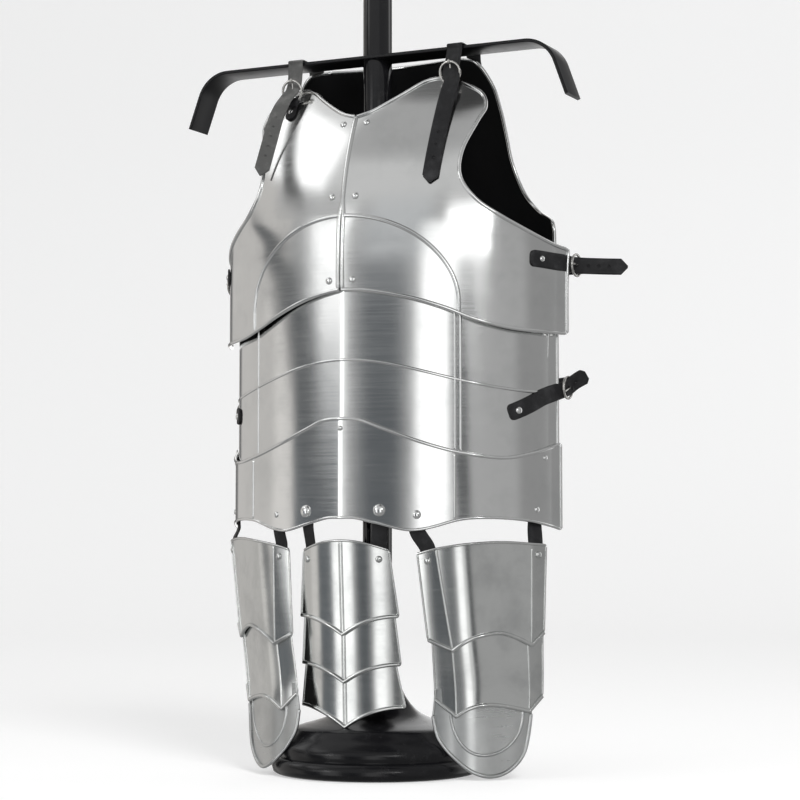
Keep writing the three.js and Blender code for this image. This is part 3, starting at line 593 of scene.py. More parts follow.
class Graph:
    """A short way to write a node tree."""

    def __init__(self, tree: bpy.types.NodeTree) -> None:
        """Wraps an empty tree."""
        self.tree = tree

    def node(self, kind: str, inputs: Optional[dict] = None, **settings: object) -> bpy.types.Node:
        """Adds a node, sets its properties, and sets or links its inputs."""
        node = self.tree.nodes.new(kind)
        for key, value in settings.items():
            setattr(node, key, value)
        for key, value in (inputs or {}).items():
            if isinstance(value, Socket):
                self.tree.links.new(value, node.inputs[key])
            else:
                node.inputs[key].default_value = value
        return node

    def noise(self, where: Socket, scale: float, detail: float = 2.0, rough: float = 0.5) -> Socket:
        """A noise pattern, 0 to 1."""
        inputs = {"Vector": where, "Scale": scale, "Detail": detail, "Roughness": rough}
        return self.node("ShaderNodeTexNoise", inputs).outputs["Fac"]

    def stretched(self, where: Socket, scale: Sequence[float]) -> Socket:
        """Coordinates scaled by a different amount along each axis."""
        return self.node("ShaderNodeMapping", {"Vector": where, "Scale": scale}).outputs["Vector"]

    def ranged(
        self, value: Socket, low: float, high: float, to_low: float, to_high: float, smooth: bool = False
    ) -> Socket:
        """A value carried from one range to another, held at its ends."""
        inputs = {"Value": value, "From Min": low, "From Max": high, "To Min": to_low, "To Max": to_high}
        kind = "SMOOTHSTEP" if smooth else "LINEAR"
        return self.node("ShaderNodeMapRange", inputs, interpolation_type=kind).outputs["Result"]

    def sum(self, one: Socket, two: Socket | float, operation: str = "ADD") -> Socket:
        """One arithmetic operation on two values."""
        return self.node("ShaderNodeMath", {0: one, 1: two}, operation=operation).outputs[0]

    def mix(
        self, share: Socket, low: Sequence[float] | Socket, high: Sequence[float] | Socket
    ) -> Socket:
        """A colour between two."""
        node = self.node("ShaderNodeMix", data_type="RGBA")
        for name, value in (("Factor_Float", share), ("A_Color", low), ("B_Color", high)):
            socket = next(one for one in node.inputs if one.identifier == name)
            if isinstance(value, Socket):
                self.tree.links.new(value, socket)
            else:
                socket.default_value = value
        return next(one for one in node.outputs if one.identifier == "Result_Color")

    def bump(
        self, height: Socket, strength: float, distance: float, under: Optional[Socket] = None
    ) -> Socket:
        """A normal bent by a height, on top of another."""
        inputs = {"Height": height, "Strength": strength, "Distance": distance}
        if under is not None:
            inputs["Normal"] = under
        return self.node("ShaderNodeBump", inputs).outputs["Normal"]


@dataclass(frozen=True)
class Finish:
    """What every finish has: a name and a shader on Object coordinates."""

    name: str

    def material(self) -> bpy.types.Material:
        """The finish as a material, made once."""
        known = bpy.data.materials.get(self.name)
        if known:
            return known
        material = bpy.data.materials.new(self.name)
        material.use_nodes = True
        tree = material.node_tree
        tree.nodes.clear()
        graph = Graph(tree)
        shader = graph.node("ShaderNodeBsdfPrincipled")
        where = graph.node("ShaderNodeTexCoord").outputs["Object"]
        graph.node("ShaderNodeOutputMaterial", {"Surface": shader.outputs["BSDF"]})
        self.dress(graph, shader, where)
        return material

    def dress(self, graph: Graph, shader: bpy.types.Node, where: Socket) -> None:
        """Sets up the shader; each finish has its own way."""
        raise NotImplementedError

    @staticmethod
    def link(graph: Graph, value: Socket, shader: bpy.types.Node, name: str) -> None:
        """Links a value to one of the shader's sockets."""
        graph.tree.links.new(value, shader.inputs[name])


@dataclass(frozen=True)
class PolishedSteel(Finish):
    """Bright steel sheet, polished by hand: long soft waves and a fine brushed grain."""

    colour: tuple = (0.81, 0.815, 0.81, 1)
    dull: tuple = (0.73, 0.74, 0.735, 1)
    smoothest: float = 0.09
    roughest: float = 0.18
    wave: float = 0.0014

    def dress(self, graph: Graph, shader: bpy.types.Node, where: Socket) -> None:
        """Metal whose grain runs across, with cloudy changes of gloss and slow dents."""
        grain = graph.noise(graph.stretched(where, (14, 14, 620)), 1.0, 3.0, 0.6)
        cloud = graph.noise(where, 16.0, 4.0, 0.6)
        blotch = graph.ranged(cloud, 0.4, 0.75, 0, 1, True)
        tone = graph.mix(blotch, self.colour, self.dull)
        gloss = graph.ranged(graph.sum(grain, cloud), 0.6, 1.4, self.smoothest, self.roughest)
        slow = graph.noise(graph.stretched(where, (9, 9, 6)), 1.0, 1.0, 0.4)
        hammer = graph.noise(graph.stretched(where, (24, 24, 15)), 1.0, 2.0, 0.5)
        dented = graph.bump(hammer, 0.3, self.wave / 4, graph.bump(slow, 0.5, self.wave))
        brushed = graph.bump(grain, 0.012, 0.0003, dented)
        shader.inputs["Metallic"].default_value = 1.0
        self.link(graph, tone, shader, "Base Color")
        self.link(graph, gloss, shader, "Roughness")
        self.link(graph, brushed, shader, "Normal")


@dataclass(frozen=True)
class BlackLining(Finish):
    """The plates' inner faces, painted black and dull."""

    def dress(self, graph: Graph, shader: bpy.types.Node, where: Socket) -> None:
        """Nearly black paint with a soft mottle and a fine tooth."""
        cloud = graph.noise(where, 30.0, 4.0)
        tone = graph.mix(cloud, (0.004, 0.004, 0.004, 1), (0.012, 0.012, 0.013, 1))
        self.link(graph, tone, shader, "Base Color")
        self.link(graph, graph.ranged(cloud, 0.3, 0.7, 0.75, 0.95), shader, "Roughness")
        self.link(graph, graph.bump(graph.noise(where, 900.0, 3.0), 0.2, 0.0002), shader, "Normal")
        shader.inputs["Specular IOR Level"].default_value = 0.15


@dataclass(frozen=True)
class NickelWire(Finish):
    """Nickel on the ring buckles."""

    colour: tuple = (0.58, 0.57, 0.55, 1)

    def dress(self, graph: Graph, shader: bpy.types.Node, where: Socket) -> None:
        """Smooth metal with small scuffs."""
        scuff = graph.noise(where, 240.0, 4.0, 0.6)
        shader.inputs["Metallic"].default_value = 1.0
        tone = graph.mix(graph.ranged(scuff, 0.5, 0.8, 0, 1), self.colour, (0.45, 0.44, 0.42, 1))
        self.link(graph, tone, shader, "Base Color")
        self.link(graph, graph.ranged(scuff, 0.3, 0.75, 0.12, 0.34), shader, "Roughness")
        self.link(graph, graph.bump(scuff, 0.12, 0.0003), shader, "Normal")


@dataclass(frozen=True)
class BlackLeather(Finish):
    """Strap leather dyed black, with a pebbled grain and a waxed face.

    Attributes:
        dye: Its colour where the dye is whole.
        worn: Its colour where the dye has rubbed thin.
    """

    dye: tuple = (0.009, 0.009, 0.010, 1)
    worn: tuple = (0.030, 0.030, 0.032, 1)

    def dress(self, graph: Graph, shader: bpy.types.Node, where: Socket) -> None:
        """Pebbles from cells, creases from noise, and worn grey patches."""
        pebble = graph.node("ShaderNodeTexVoronoi", {"Vector": where, "Scale": 620.0}).outputs["Distance"]
        crease = graph.noise(where, 170.0, 5.0, 0.65)
        wear = graph.ranged(graph.noise(where, 55.0, 4.0, 0.6), 0.45, 0.8, 0, 1, True)
        tone = graph.mix(wear, self.dye, self.worn)
        self.link(graph, tone, shader, "Base Color")
        self.link(graph, graph.ranged(crease, 0.3, 0.7, 0.44, 0.64), shader, "Roughness")
        grain = graph.bump(pebble, 0.35, 0.00035)
        self.link(graph, graph.bump(crease, 0.3, 0.0005, grain), shader, "Normal")
        shader.inputs["Specular IOR Level"].default_value = 0.35


@dataclass(frozen=True)
class GlossBlack(Finish):
    """The stand's black enamel."""

    smoothest: float = 0.10
    shine: float = 0.32

    def dress(self, graph: Graph, shader: bpy.types.Node, where: Socket) -> None:
        """Glossy black with slight orange peel and faint dust."""
        peel = graph.noise(where, 150.0, 2.0)
        dust = graph.ranged(graph.noise(where, 60.0, 5.0, 0.7), 0.5, 0.85, 0, 1, True)
        tone = graph.mix(dust, (0.006, 0.006, 0.007, 1), (0.018, 0.018, 0.019, 1))
        self.link(graph, tone, shader, "Base Color")
        self.link(graph, graph.ranged(dust, 0, 1, self.smoothest, self.smoothest + 0.14), shader, "Roughness")
        self.link(graph, graph.bump(peel, 0.08, 0.0004), shader, "Normal")
        shader.inputs["Specular IOR Level"].default_value = self.shine


STEEL = PolishedSteel("polished_steel")
SATIN = PolishedSteel("satin_steel", (0.60, 0.61, 0.605, 1), (0.50, 0.51, 0.505, 1), 0.24, 0.36)
TASSET_STEEL = PolishedSteel("tasset_steel", (0.70, 0.71, 0.70, 1), (0.56, 0.57, 0.565, 1), 0.12, 0.22, 0.002)
LINING = BlackLining("black_lining")
NICKEL = NickelWire("nickel")
LEATHER_BLACK = BlackLeather("black_leather")
# A grey copy of the black leather, lighter all over, for the wearer's right shoulder strap.
LEATHER_GREY = BlackLeather("grey_leather", (0.085, 0.085, 0.083, 1), (0.17, 0.17, 0.165, 1))
ENAMEL = GlossBlack("black_enamel", 0.05, 0.4)
BASE_BLACK = GlossBlack("base_black", 0.2, 0.3)
BAR_BLACK = GlossBlack("satin_black", 0.36, 0.2)


def steel_looks(face: Finish = STEEL) -> list[bpy.types.Material]:
    """A steel plate's face and its lining."""
    return [face.material(), LINING.material()]


# ------------------------------------------------------------------ leather straps


class Tip(Enum):
    """How a strap's end is cut."""

    SQUARE = "square"
    ROUND = "round"
    EASED = "eased"
    POINTED = "pointed"
    CLIPPED = "clipped"


@dataclass
class Strap:
    """A flat strap along a route, with eased edges, cut ends and punched holes.

    Attributes:
        route: Points of its middle line.
        across: The direction of its width for t in 0..1 along the route.
        width: Across the strap.
        thickness: Of the leather.
        start: Cut of its first end.
        end: Cut of its last end.
        holes: Each hole's distance from the last end.
        hole_radius: Of each hole.
        step: Distance between its cross sections.
    """

    route: Sequence[Sequence[float]]
    across: Callable[[Array], Array]
    width: float = 19.0
    thickness: float = LEATHER
    start: Tip = Tip.SQUARE
    end: Tip = Tip.SQUARE
    holes: Sequence[float] = ()
    hole_radius: float = 1.9
    step: float = 1.6

    def reach(self, from_end: Array, cut: Tip) -> Array:
        """Share of the full half width at a distance from an end."""
        half = self.width / 2
        if cut is Tip.ROUND:
            return np.sqrt(np.clip(1 - (1 - np.clip(from_end / half, 0, 1)) ** 2, 0.01, 1))
        if cut is Tip.EASED:
            corner = 5.0
            left = np.clip(corner - from_end, 0, corner)
            return 1 - (corner - np.sqrt(corner**2 - left**2 + 0.05)) / half
        if cut is Tip.POINTED:
            return np.clip(0.1 + from_end / 9, 0, 1)
        if cut is Tip.CLIPPED:
            return np.clip(0.5 + from_end / 9, 0, 1)
        return np.ones_like(from_end)

    def build(self, shape: Shape) -> None:
        """Adds the strap to a shape.

        Each cross section is a flat oblong with bevelled corners. Its half width is
        W times the share that its two ends leave it, and near a hole both faces dip by
        1.05 (1 - smoothstep(0.6 r, r, distance)).
        """
        line = spline(self.route)
        fine = np.linspace(0, 1, 3000)
        points = line(fine)
        length = np.concatenate([[0], np.cumsum(np.linalg.norm(np.diff(points, axis=0), axis=1))])
        total = length[-1]
        marks = np.linspace(0, total, max(int(total / self.step), 8))
        corner = self.width / 2 * (1 - np.cos(np.linspace(0, math.pi / 2, 7)))
        ends = [0.4, 0.9, total - 0.9, total - 0.4]
        marks = np.unique(np.round(np.concatenate([marks, corner, total - corner, ends]), 3))
        for hole in self.holes:
            near = total - hole + np.linspace(-1, 1, 9) * self.hole_radius * 1.15
            marks = np.unique(np.round(np.concatenate([marks, near]), 3))
        marks = marks[(marks >= 0) & (marks <= total)]
        t = np.interp(marks, length, fine)
        middle = line(t)
        along = unit(line(np.clip(t + 1e-3, 0, 1)) - line(np.clip(t - 1e-3, 0, 1)))
        wide = self.across(t)
        wide = unit(wide - along * (wide * along).sum(-1, keepdims=True))
        out = np.cross(along, wide)
        share = np.minimum(self.reach(marks, self.start), self.reach(total - marks, self.end))
        half, thick = self.width / 2, self.thickness / 2
        lanes = np.concatenate([[-1, -0.93, -0.8, -0.5], np.linspace(-0.27, 0.27, 9), [0.5, 0.8, 0.93, 1]])
        edge = np.array([0.35, 0.85, 1.0, 1.0])
        rise = np.concatenate([edge, np.ones(9), edge[::-1]]) * thick
        level = np.broadcast_to(rise, (len(marks), len(lanes))).copy()
        for hole in self.holes:
            away = np.hypot((marks - total + hole)[:, None], (lanes * half)[None])
            level -= 1.05 * (1 - smoothstep(0.6 * self.hole_radius, self.hole_radius, away))
        offset = lanes[None, :, None] * half * share[:, None, None] * wide[:, None]
        top = middle[:, None] + offset + out[:, None] * level[..., None]
        under = middle[:, None] + offset - out[:, None] * level[..., None]
        shape.loops(np.concatenate([top, under[:, ::-1]], 1)[:, ::-1])


def shifting(stages: Sequence[tuple[float, Array]]) -> Callable[[Array], Array]:
    """A direction that moves smoothly from one stage's to the next.

    Args:
        stages: Each stage's t and direction.

    Returns:
        A function from t in 0..1 to directions.
    """
    times = np.array([time for time, _ in stages])
    directions = np.array([direction for _, direction in stages], float)

    def at(t: Array) -> Array:
        """Directions at t."""
        index = np.clip(np.searchsorted(times, t, side="right") - 1, 0, len(times) - 2)
        share = smoothstep(0, 1, (t - times[index]) / (times[index + 1] - times[index]))[..., None]
        return directions[index] * (1 - share) + directions[index + 1] * share

    return at


def steady(direction: Sequence[float]) -> Callable[[Array], Array]:
    """The same direction all along."""
    return lambda t: np.broadcast_to(np.asarray(direction, float), (*np.shape(t), 3))


@dataclass
class RingBuckle:
    """A round wire ring with a prong hinged on it.

    Attributes:
        centre: Of the ring.
        along: The strap's direction in the ring's plane; the prong's tip points this way.
        across: The direction of the strap's width.
    """

    centre: Array
    along: Array
    across: Array
    radius: float = 12.5
    wire: float = 1.5

    def build(self, shape: Shape) -> None:
        """Adds ring and prong: a circle swept by a round wire, and a tapered rod with an eye."""
        along, across = unit(self.along), unit(self.across)
        out = np.cross(across, along)
        turn = np.linspace(0, 2 * math.pi, 64, endpoint=False)[:, None]
        circle = self.centre + self.radius * (np.cos(turn) * across + np.sin(turn) * along)
        shape.tube(circle, out, self.wire, self.wire, 12, closed=True)
        reach = np.linspace(-1, 1, 24)[:, None]
        arch = np.sqrt(np.clip(1 - reach**2, 0, 1)) * 1.2 + 0.9
        rod = self.centre + along * reach * (self.radius + 0.6) + out * arch
        shape.tube(rod, out, 1.2, 1.0, 10)
        eye = np.linspace(0, 2 * math.pi, 24, endpoint=False)[:, None]
        hinge = self.centre - along * self.radius
        loop = hinge + (self.wire + 0.7) * (np.cos(eye) * along + np.sin(eye) * out)
        shape.tube(loop, across, 0.8, 1.5, 8, closed=True)


# ------------------------------------------------------------------ outlines, for the wearer's left

SEAM = 1
NECKLINE = [[SEAM, 758], [18, 763], [34, 772], [52, 784], [70, 797], [84, 802], [103, 802]]
ARMHOLE = [
    [222, 602], [197, 618], [171, 635], [147, 654], [130, 680],
    [129, 711], [140, 748], [145, 766], [136, 784], [103, 802],
]
SIDE_EDGE = [[222, 505], [222, 602]]
HEM = {
    Side.LEFT: [[SEAM, 553], [30, 551], [60, 546], [90, 539], [120, 529], [150, 516], [185, 507], [222, 505]],
    Side.RIGHT: [[SEAM, 553], [30, 548], [60, 540], [90, 529], [120, 517], [150, 508], [185, 505], [222, 505]],
}
FAULD_TOP = [[0, 406], [24, 404], [50, 394], [90, 379], [130, 367], [170, 361], [195, 367], [213, 379]]
FAULD_HEM = [
    [0, 294], [18, 293.5], [42, 288], [73, 280.5], [90, 280.5],
    [106, 284], [134, 292], [164, 293.5], [193, 290], [213, 281],
]
BACK_TOP = 836
BACK_NECK = [[0, BACK_TOP], [60, BACK_TOP], [82, BACK_TOP]]
BACK_ARMHOLE = [
    [203.7, 615], [201, 636], [176.5, 652], [153, 676], [137.6, 713],
    [134, 747], [132, 777], [128, 803], [110.6, 830], [82, BACK_TOP],
]
BACK_HEM = 300
BACK_SIDE = [[201, BACK_HEM], [199.5, 400], [200.5, 500], [203, 560], [203.7, 615]]
WAIST_TUCK = 22


def outline_panel(section: Section, edges: Sequence[Callable], u: Array, v: Array, side: Side) -> Panel:
    """A panel of a section between four [x, z] edge lines, evenly spread round the body.

    Args:
        section: The surface that it lies on.
        edges: Low, high, inner and outer edge, as functions of t.
        u: Places across.
        v: Places up.
        side: The wearer's side; the edges are those of the left.

    Returns:
        The panel, its columns from the centre outwards.
    """

    def flat(line: Callable) -> Callable:
        """The edge line in girth and height."""

        def at(t: Array) -> Array:
            """Girth, height pairs at t."""
            places = line(t)
            x, z = places[..., 0], places[..., 1]
            return np.stack([section.girth_at(x, z), z], -1)

        return at

    places = patch_grid(*(flat(line) for line in edges), u, v)
    return section.panel(places * np.array([side.value, 1]))


@dataclass
class BreastPlates:
    """Two halves of the breast, riveted to a strip behind their seam.

    Attributes:
        rim: Half width of the roll round the outline.
        arch: Half width, height and level of the raised arch over the belly.
        seam_rivets: Their distance from the centre, and their heights.
    """

    rim: float = 2.2
    arch: tuple = (132.0, 103.0, 535.0)
    seam_rivets: tuple = ((15, 750), (15, 660.5), (15, 563.5))

    def half(self, side: Side) -> Panel:
        """The grid of one half."""
        seam = chain([[SEAM, 553], [SEAM, 758]])
        flank = joined(chain(SIDE_EDGE), spline(ARMHOLE), 0.25)
        edges = (spline(HEM[side]), spline(NECKLINE), seam, flank)
        return outline_panel(BREAST, edges, crowded(90, 0.3), crowded(110, 0.3), side)

    def arch_line(self, side: Side) -> Panel:
        """The raised arch: half an ellipse standing on two short legs."""
        wide, tall, level = self.arch
        foot = height_on(HEM[side], np.array(wide))
        turn = np.linspace(0, math.pi / 2, 70)
        x = np.concatenate([np.full(8, wide), wide * np.cos(turn[1:])])
        z = np.concatenate([np.linspace(foot, level, 8), level + tall * np.sin(turn[1:])])
        return BREAST.at(side.value * np.maximum(x, 3), z)

    def build(self) -> None:
        """Both halves with their rolls, beads and rivets."""
        for side in Side:
            shape = Shape()
            half = self.half(side)
            shape.sheet(half, PLATE)
            for which in (Edge.LOW, Edge.HIGH, Edge.FAR):
                shape.bead(half.edge(which), self.rim, self.rim, 0.2)
            self.seam_bead(shape, side)
            shape.bead(self.arch_line(side), 2.5, 1.9, 0.1)
            for x, z in self.seam_rivets:
                shape.rivet(BREAST.at(side.value * x, z), 4.2, 2.5)
            upper = SideStraps.upper_at(side)
            shape.rivet(BREAST.at(side.value * upper.x, upper.z), 3.6, 1.8, LEATHER + GAP)
            shoulder = ShoulderStraps.fittings[side]
            shape.rivet(BREAST.at(shoulder.x, shoulder.tab_z), 3.6, 1.8, LEATHER + GAP)
            name = f"breast_{side.word}"
            shape.finish(name, steel_looks(), "steel", [f"breast_plate_{side.word}"])

    def seam_bead(self, shape: Shape, side: Side) -> None:
        """The bead along the seam; above the arch the two run into one."""
        z = np.linspace(553, 758, 80)
        merge = smoothstep(636, 660, z)
        x = 2.7 * (1 - merge) + 0.3 * merge
        line = BREAST.at(side.value * x, z)
        shape.bead(line, 2.5, 2.2, 0.2)


@dataclass
class WaistPlate:
    """The plate that the breast and the fauld lap over.

    Attributes:
        bead: Height of the raised line at the sides, and its rise at the centre.
        flutes: X of the upright flutes.
    """

    bead: tuple = (436.0, 37.0)
    flutes: tuple = (-131.0, 125.0, 130.5)

    def panel(self) -> Panel:
        """The grid, from the wearer's right to the left."""
        girth = np.linspace(-EDGE_ANGLE, EDGE_ANGLE, 191)
        x = WAIST.point(girth, np.full_like(girth, 400.0))[:, 0]
        across = np.abs(x) * HEM[Side.LEFT][-1][0] / WAIST.rows[0][1]
        left, right = (height_on(HEM[side], across) for side in Side)
        top = np.where(x > 0, left, right) + WAIST_TUCK
        low = height_on(FAULD_TOP, np.abs(x)) - WAIST_TUCK
        v = np.linspace(0, 1, 50)[:, None]
        places = np.stack([np.broadcast_to(girth, (50, 191)), low + (top - low) * v], -1)
        return WAIST.panel(places)

    def build(self) -> None:
        """The plate, its side rolls, flutes, raised line and strap rivets."""
        shape = Shape()
        panel = self.panel()
        shape.sheet(panel, PLATE)
        for which in (Edge.NEAR, Edge.FAR):
            shape.bead(panel.edge(which), 1.9, 1.7, 0.1)
        for x in self.flutes:
            low, high = height_on(FAULD_TOP, np.array(abs(x))), 545
            shape.bead(WAIST.at(x, np.linspace(low, high, 60)), 1.5, 1.2, 0.0)
        level, rise = self.bead
        x = np.linspace(-209, 209, 181)
        z = level + rise * (0.5 + 0.5 * np.cos(math.pi * np.minimum(np.abs(x) / 215, 1)))
        shape.bead(WAIST.at(x, z), 1.7, 1.3, 0.0)
        for side in Side:
            lower = SideStraps.lower_at(side)
            shape.rivet(WAIST.at(side.value * lower.x, lower.z), 4.2, 2.0, LEATHER + GAP)
        shape.finish("waist", steel_looks(), "steel", ["waist_plate"])


@dataclass
class Fauld:
    """The skirt plate over the hips, from which the tassets hang."""

    flutes: tuple = (-137.0, 126.0)
    rivets: tuple = ((0, 395, 3.0), (205, 362, 3.0), (-205, 362, 3.0))

    def panel(self) -> Panel:
        """The grid, from the wearer's right to the left."""
        girth = np.linspace(-EDGE_ANGLE, EDGE_ANGLE, 191)
        x = np.abs(FAULD.point(girth, np.full_like(girth, 400.0))[:, 0])
        low, top = height_on(FAULD_HEM, x), height_on(FAULD_TOP, x)
        v = np.linspace(0, 1, 50)[:, None]
        return FAULD.panel(np.stack([np.broadcast_to(girth, (50, 191)), low + (top - low) * v], -1))

    def build(self) -> None:
        """The plate, its rolls, flutes, and the rivets that hold the hangers."""
        shape = Shape()
        panel = self.panel()
        shape.sheet(panel, PLATE)
        shape.bead(panel.edge(Edge.HIGH), 2.0, 1.8, 0.3)
        shape.bead(panel.edge(Edge.LOW), 1.7, 1.5, 0.1)
        for which in (Edge.NEAR, Edge.FAR):
            shape.bead(panel.edge(which), 1.7, 1.5, 0.1)
        for x in self.flutes:
            low, high = (height_on(line, np.array(abs(x))) for line in (FAULD_HEM, FAULD_TOP))
            shape.bead(FAULD.at(x, np.linspace(low + 2, high - 2, 40)), 1.7, 1.3, 0.0)
        for x, z, radius in self.rivets:
            shape.rivet(FAULD.at(x, z), radius, 2.2)
        for hanger in Hangers.rows:
            shape.rivet(FAULD.at(*hanger.top), hanger.head, hanger.head * 0.55)
        shape.finish("fauld", steel_looks(), "steel", ["fauld_plate"])


@dataclass
class BackPlate:
    """The back, in one piece, open at the neck and the arms."""

    rim: float = 2.2
    tab_x: float = 170.0

    def panel(self) -> Panel:
        """The grid: one half and its mirror, joined at the centre."""
        flank = joined(spline(BACK_SIDE), spline(BACK_ARMHOLE), 0.5)
        hem, middle = chain([[0, BACK_HEM], BACK_SIDE[0]]), chain([[0, BACK_HEM], BACK_NECK[0]])
        edges = (hem, spline(BACK_NECK), middle, flank)
        half = outline_panel(BACK, edges, np.linspace(0, 1, 70), crowded(120, 0.2), Side.LEFT)
        turned = np.array([-1, 1, 1])
        points = np.concatenate([half.points[:, :0:-1] * turned, half.points], 1)
        return Panel(points, np.concatenate([half.normals[:, :0:-1] * turned, half.normals], 1))

    def build(self) -> None:
        """The plate, its rolled outline and the strap rivets."""
        shape = Shape()
        panel = self.panel()
        shape.sheet(panel, PLATE)
        for which in Edge:
            shape.bead(panel.edge(which), self.rim, self.rim, 0.1)
        places = [(fitting.back_x, ShoulderStraps.back_z) for fitting in ShoulderStraps.fittings.values()]
        for side in Side:
            places.append((side.value * self.tab_x, SideStraps.upper_at(side).buckle_z))
            places.append((side.value * self.tab_x, SideStraps.lower_at(side).buckle_z))
        for x, z in places:
            shape.rivet(BACK.at(x, z), 3.6, 1.8, LEATHER + GAP)
        shape.finish("back", steel_looks(), "steel", ["back_plate"])


# ------------------------------------------------------------------ straps and buckles


@dataclass(frozen=True)
class ShoulderFitting:
    """Where one shoulder strap runs, and its leather.

    Attributes:
        x: X of the ring and its tab; bar_x, back_x and tip_x are those of the other places.
        tip_z: Height of the free tip; ring_z and tab_z are those of the ring and the tab.
        ring_out: How far the ring hangs in front of the bar.
        holes: Each hole's distance from the tip.
        stand_off: How much further than usual the free end stands off the breast.
        turn: Share by which the free end twists to face forward.
    """

    x: float
    bar_x: float
    back_x: float
    tip_x: float
    tip_z: float
    ring_z: float
    ring_out: float
    tab_z: float
    holes: tuple
    leather: BlackLeather
    stand_off: float
    turn: float


class ShoulderStraps:
    """Two straps from the back over the crossbar, each through a ring buckle, and their tabs."""

    fittings = {
        Side.LEFT: ShoulderFitting(106, 110, 107, 99, 672, 806, 5, 779, (30, 46, 62), LEATHER_BLACK, 0, 0),
        Side.RIGHT: ShoulderFitting(
            -99, -98.5, -102, -122, 696, 802, 8, 776, (24, 36, 48, 60, 72), LEATHER_GREY, 7, 0.75
        ),
    }
    back_z = 796.0
    tilt = math.radians(10)
    lie = GAP + LEATHER / 2

    def ring(self, fitting: ShoulderFitting) -> RingBuckle:
        """The strap's buckle."""
        centre = np.array([fitting.x, -BAR_DEPTH / 2 - self.lie - fitting.ring_out, fitting.ring_z])
        along = np.array([0, -math.sin(self.tilt), math.cos(self.tilt)])
        return RingBuckle(centre, -along, np.array([1.0, 0, 0]))

    def strap(self, fitting: ShoulderFitting) -> Strap:
        """Up the back, over the bar, through the ring and down the chest."""
        lie, edge, over = self.lie, BAR_DEPTH / 2 + self.lie, BAR_TOP + self.lie
        ring = self.ring(fitting)
        share = np.array([0, 0.12, 0.3, 0.55, 0.8, 1])
        away = np.array([14.5, 12.5, 8.5, 5, 3.4, 3.2])
        away = away + fitting.stand_off * np.array([0, 0.5, 1, 1, 0.9, 0.8])
        start_z = fitting.ring_z - 15
        x = fitting.x + (fitting.tip_x - fitting.x) * share
        z = start_z + (fitting.tip_z - start_z) * share
        hanging = BREAST.at(x, z)
        bar_x, back_x = fitting.bar_x, fitting.back_x
        route = [
            BACK.at(back_x, self.back_z - 12, lie).points,
            BACK.at(back_x, self.back_z + 4, lie).points,
            BACK.at(back_x, 825, lie + 1.6).points,
            [back_x, 36, over + 0.8],
            [back_x, BAR_DEPTH / 2, over + 0.8],
            [bar_x, -BAR_DEPTH / 2, over + 0.5],
            [bar_x, -edge - 0.6, BAR_TOP - BAR_THICKNESS],
            [bar_x - (bar_x - fitting.x) * 0.5, -edge - 2, fitting.ring_z + 12],
            ring.centre,
            *(hanging.points + hanging.normals * away[:, None]),
        ]
        across = np.array([1.0, 0, 0])
        laid = BREAST.sideways(fitting.tip_x, fitting.tip_z)
        flat = shifting([
            (0.14, BACK.sideways(back_x, self.back_z)),
            (0.24, across),
            (0.62, across),
            (0.82, unit(laid + fitting.turn * (np.array([0.93, 0.37, 0]) - laid))),
        ])
        return Strap(route, flat, start=Tip.ROUND, end=Tip.POINTED, holes=fitting.holes)

    def tab(self, fitting: ShoulderFitting) -> Strap:
        """The short strap that holds the ring: from its rivet up and round the wire."""
        ring = self.ring(fitting)
        wire = ring.centre + unit(ring.along) * ring.radius
        wrap = ring.wire + GAP + LEATHER / 2
        x = fitting.x
        turn = np.radians([0, 45, 90, 135, 180])
        round_wire = [[x, wire[1] + wrap * math.cos(a), wire[2] + wrap * math.sin(a)] for a in turn]
        route = [
            BREAST.at(x, fitting.tab_z - 10, self.lie).points,
            BREAST.at(x, fitting.tab_z, self.lie).points,
            BREAST.at(x, fitting.tab_z + 8, self.lie + 0.4).points,
            *round_wire,
            [x, wire[1] - wrap, wire[2] - 7],
        ]
        turning = shifting([(0.25, BREAST.sideways(x, fitting.tab_z)), (0.6, np.array([1.0, 0, 0]))])
        return Strap(route, turning, width=16, start=Tip.ROUND)

    def build(self) -> None:
        """Both straps, buckles and tabs."""
        for side, fitting in self.fittings.items():
            pieces = (("strap", self.strap(fitting), fitting.leather), ("tab", self.tab(fitting), LEATHER_BLACK))
            for word, made, leather in pieces:
                shape = Shape()
                made.build(shape)
                shape.finish(f"shoulder_leather_{word}_{side.word}", [leather.material()], "leather",
                             [f"shoulder_{word}_{side.word}"])
            shape = Shape()
            self.ring(fitting).build(shape)
            shape.finish(f"shoulder_ring_{side.word}", [NICKEL.material()], "buckle_metal",
                         [f"shoulder_buckle_{side.word}"])


@dataclass(frozen=True)
class SideFitting:
    """Where a side strap runs, for the left: its rivet, buckle height and free tip."""

    section: Section
    x: float
    z: float
    buckle_z: float
    tip: tuple
    cut: Tip
    holes: tuple = (22, 34, 46)


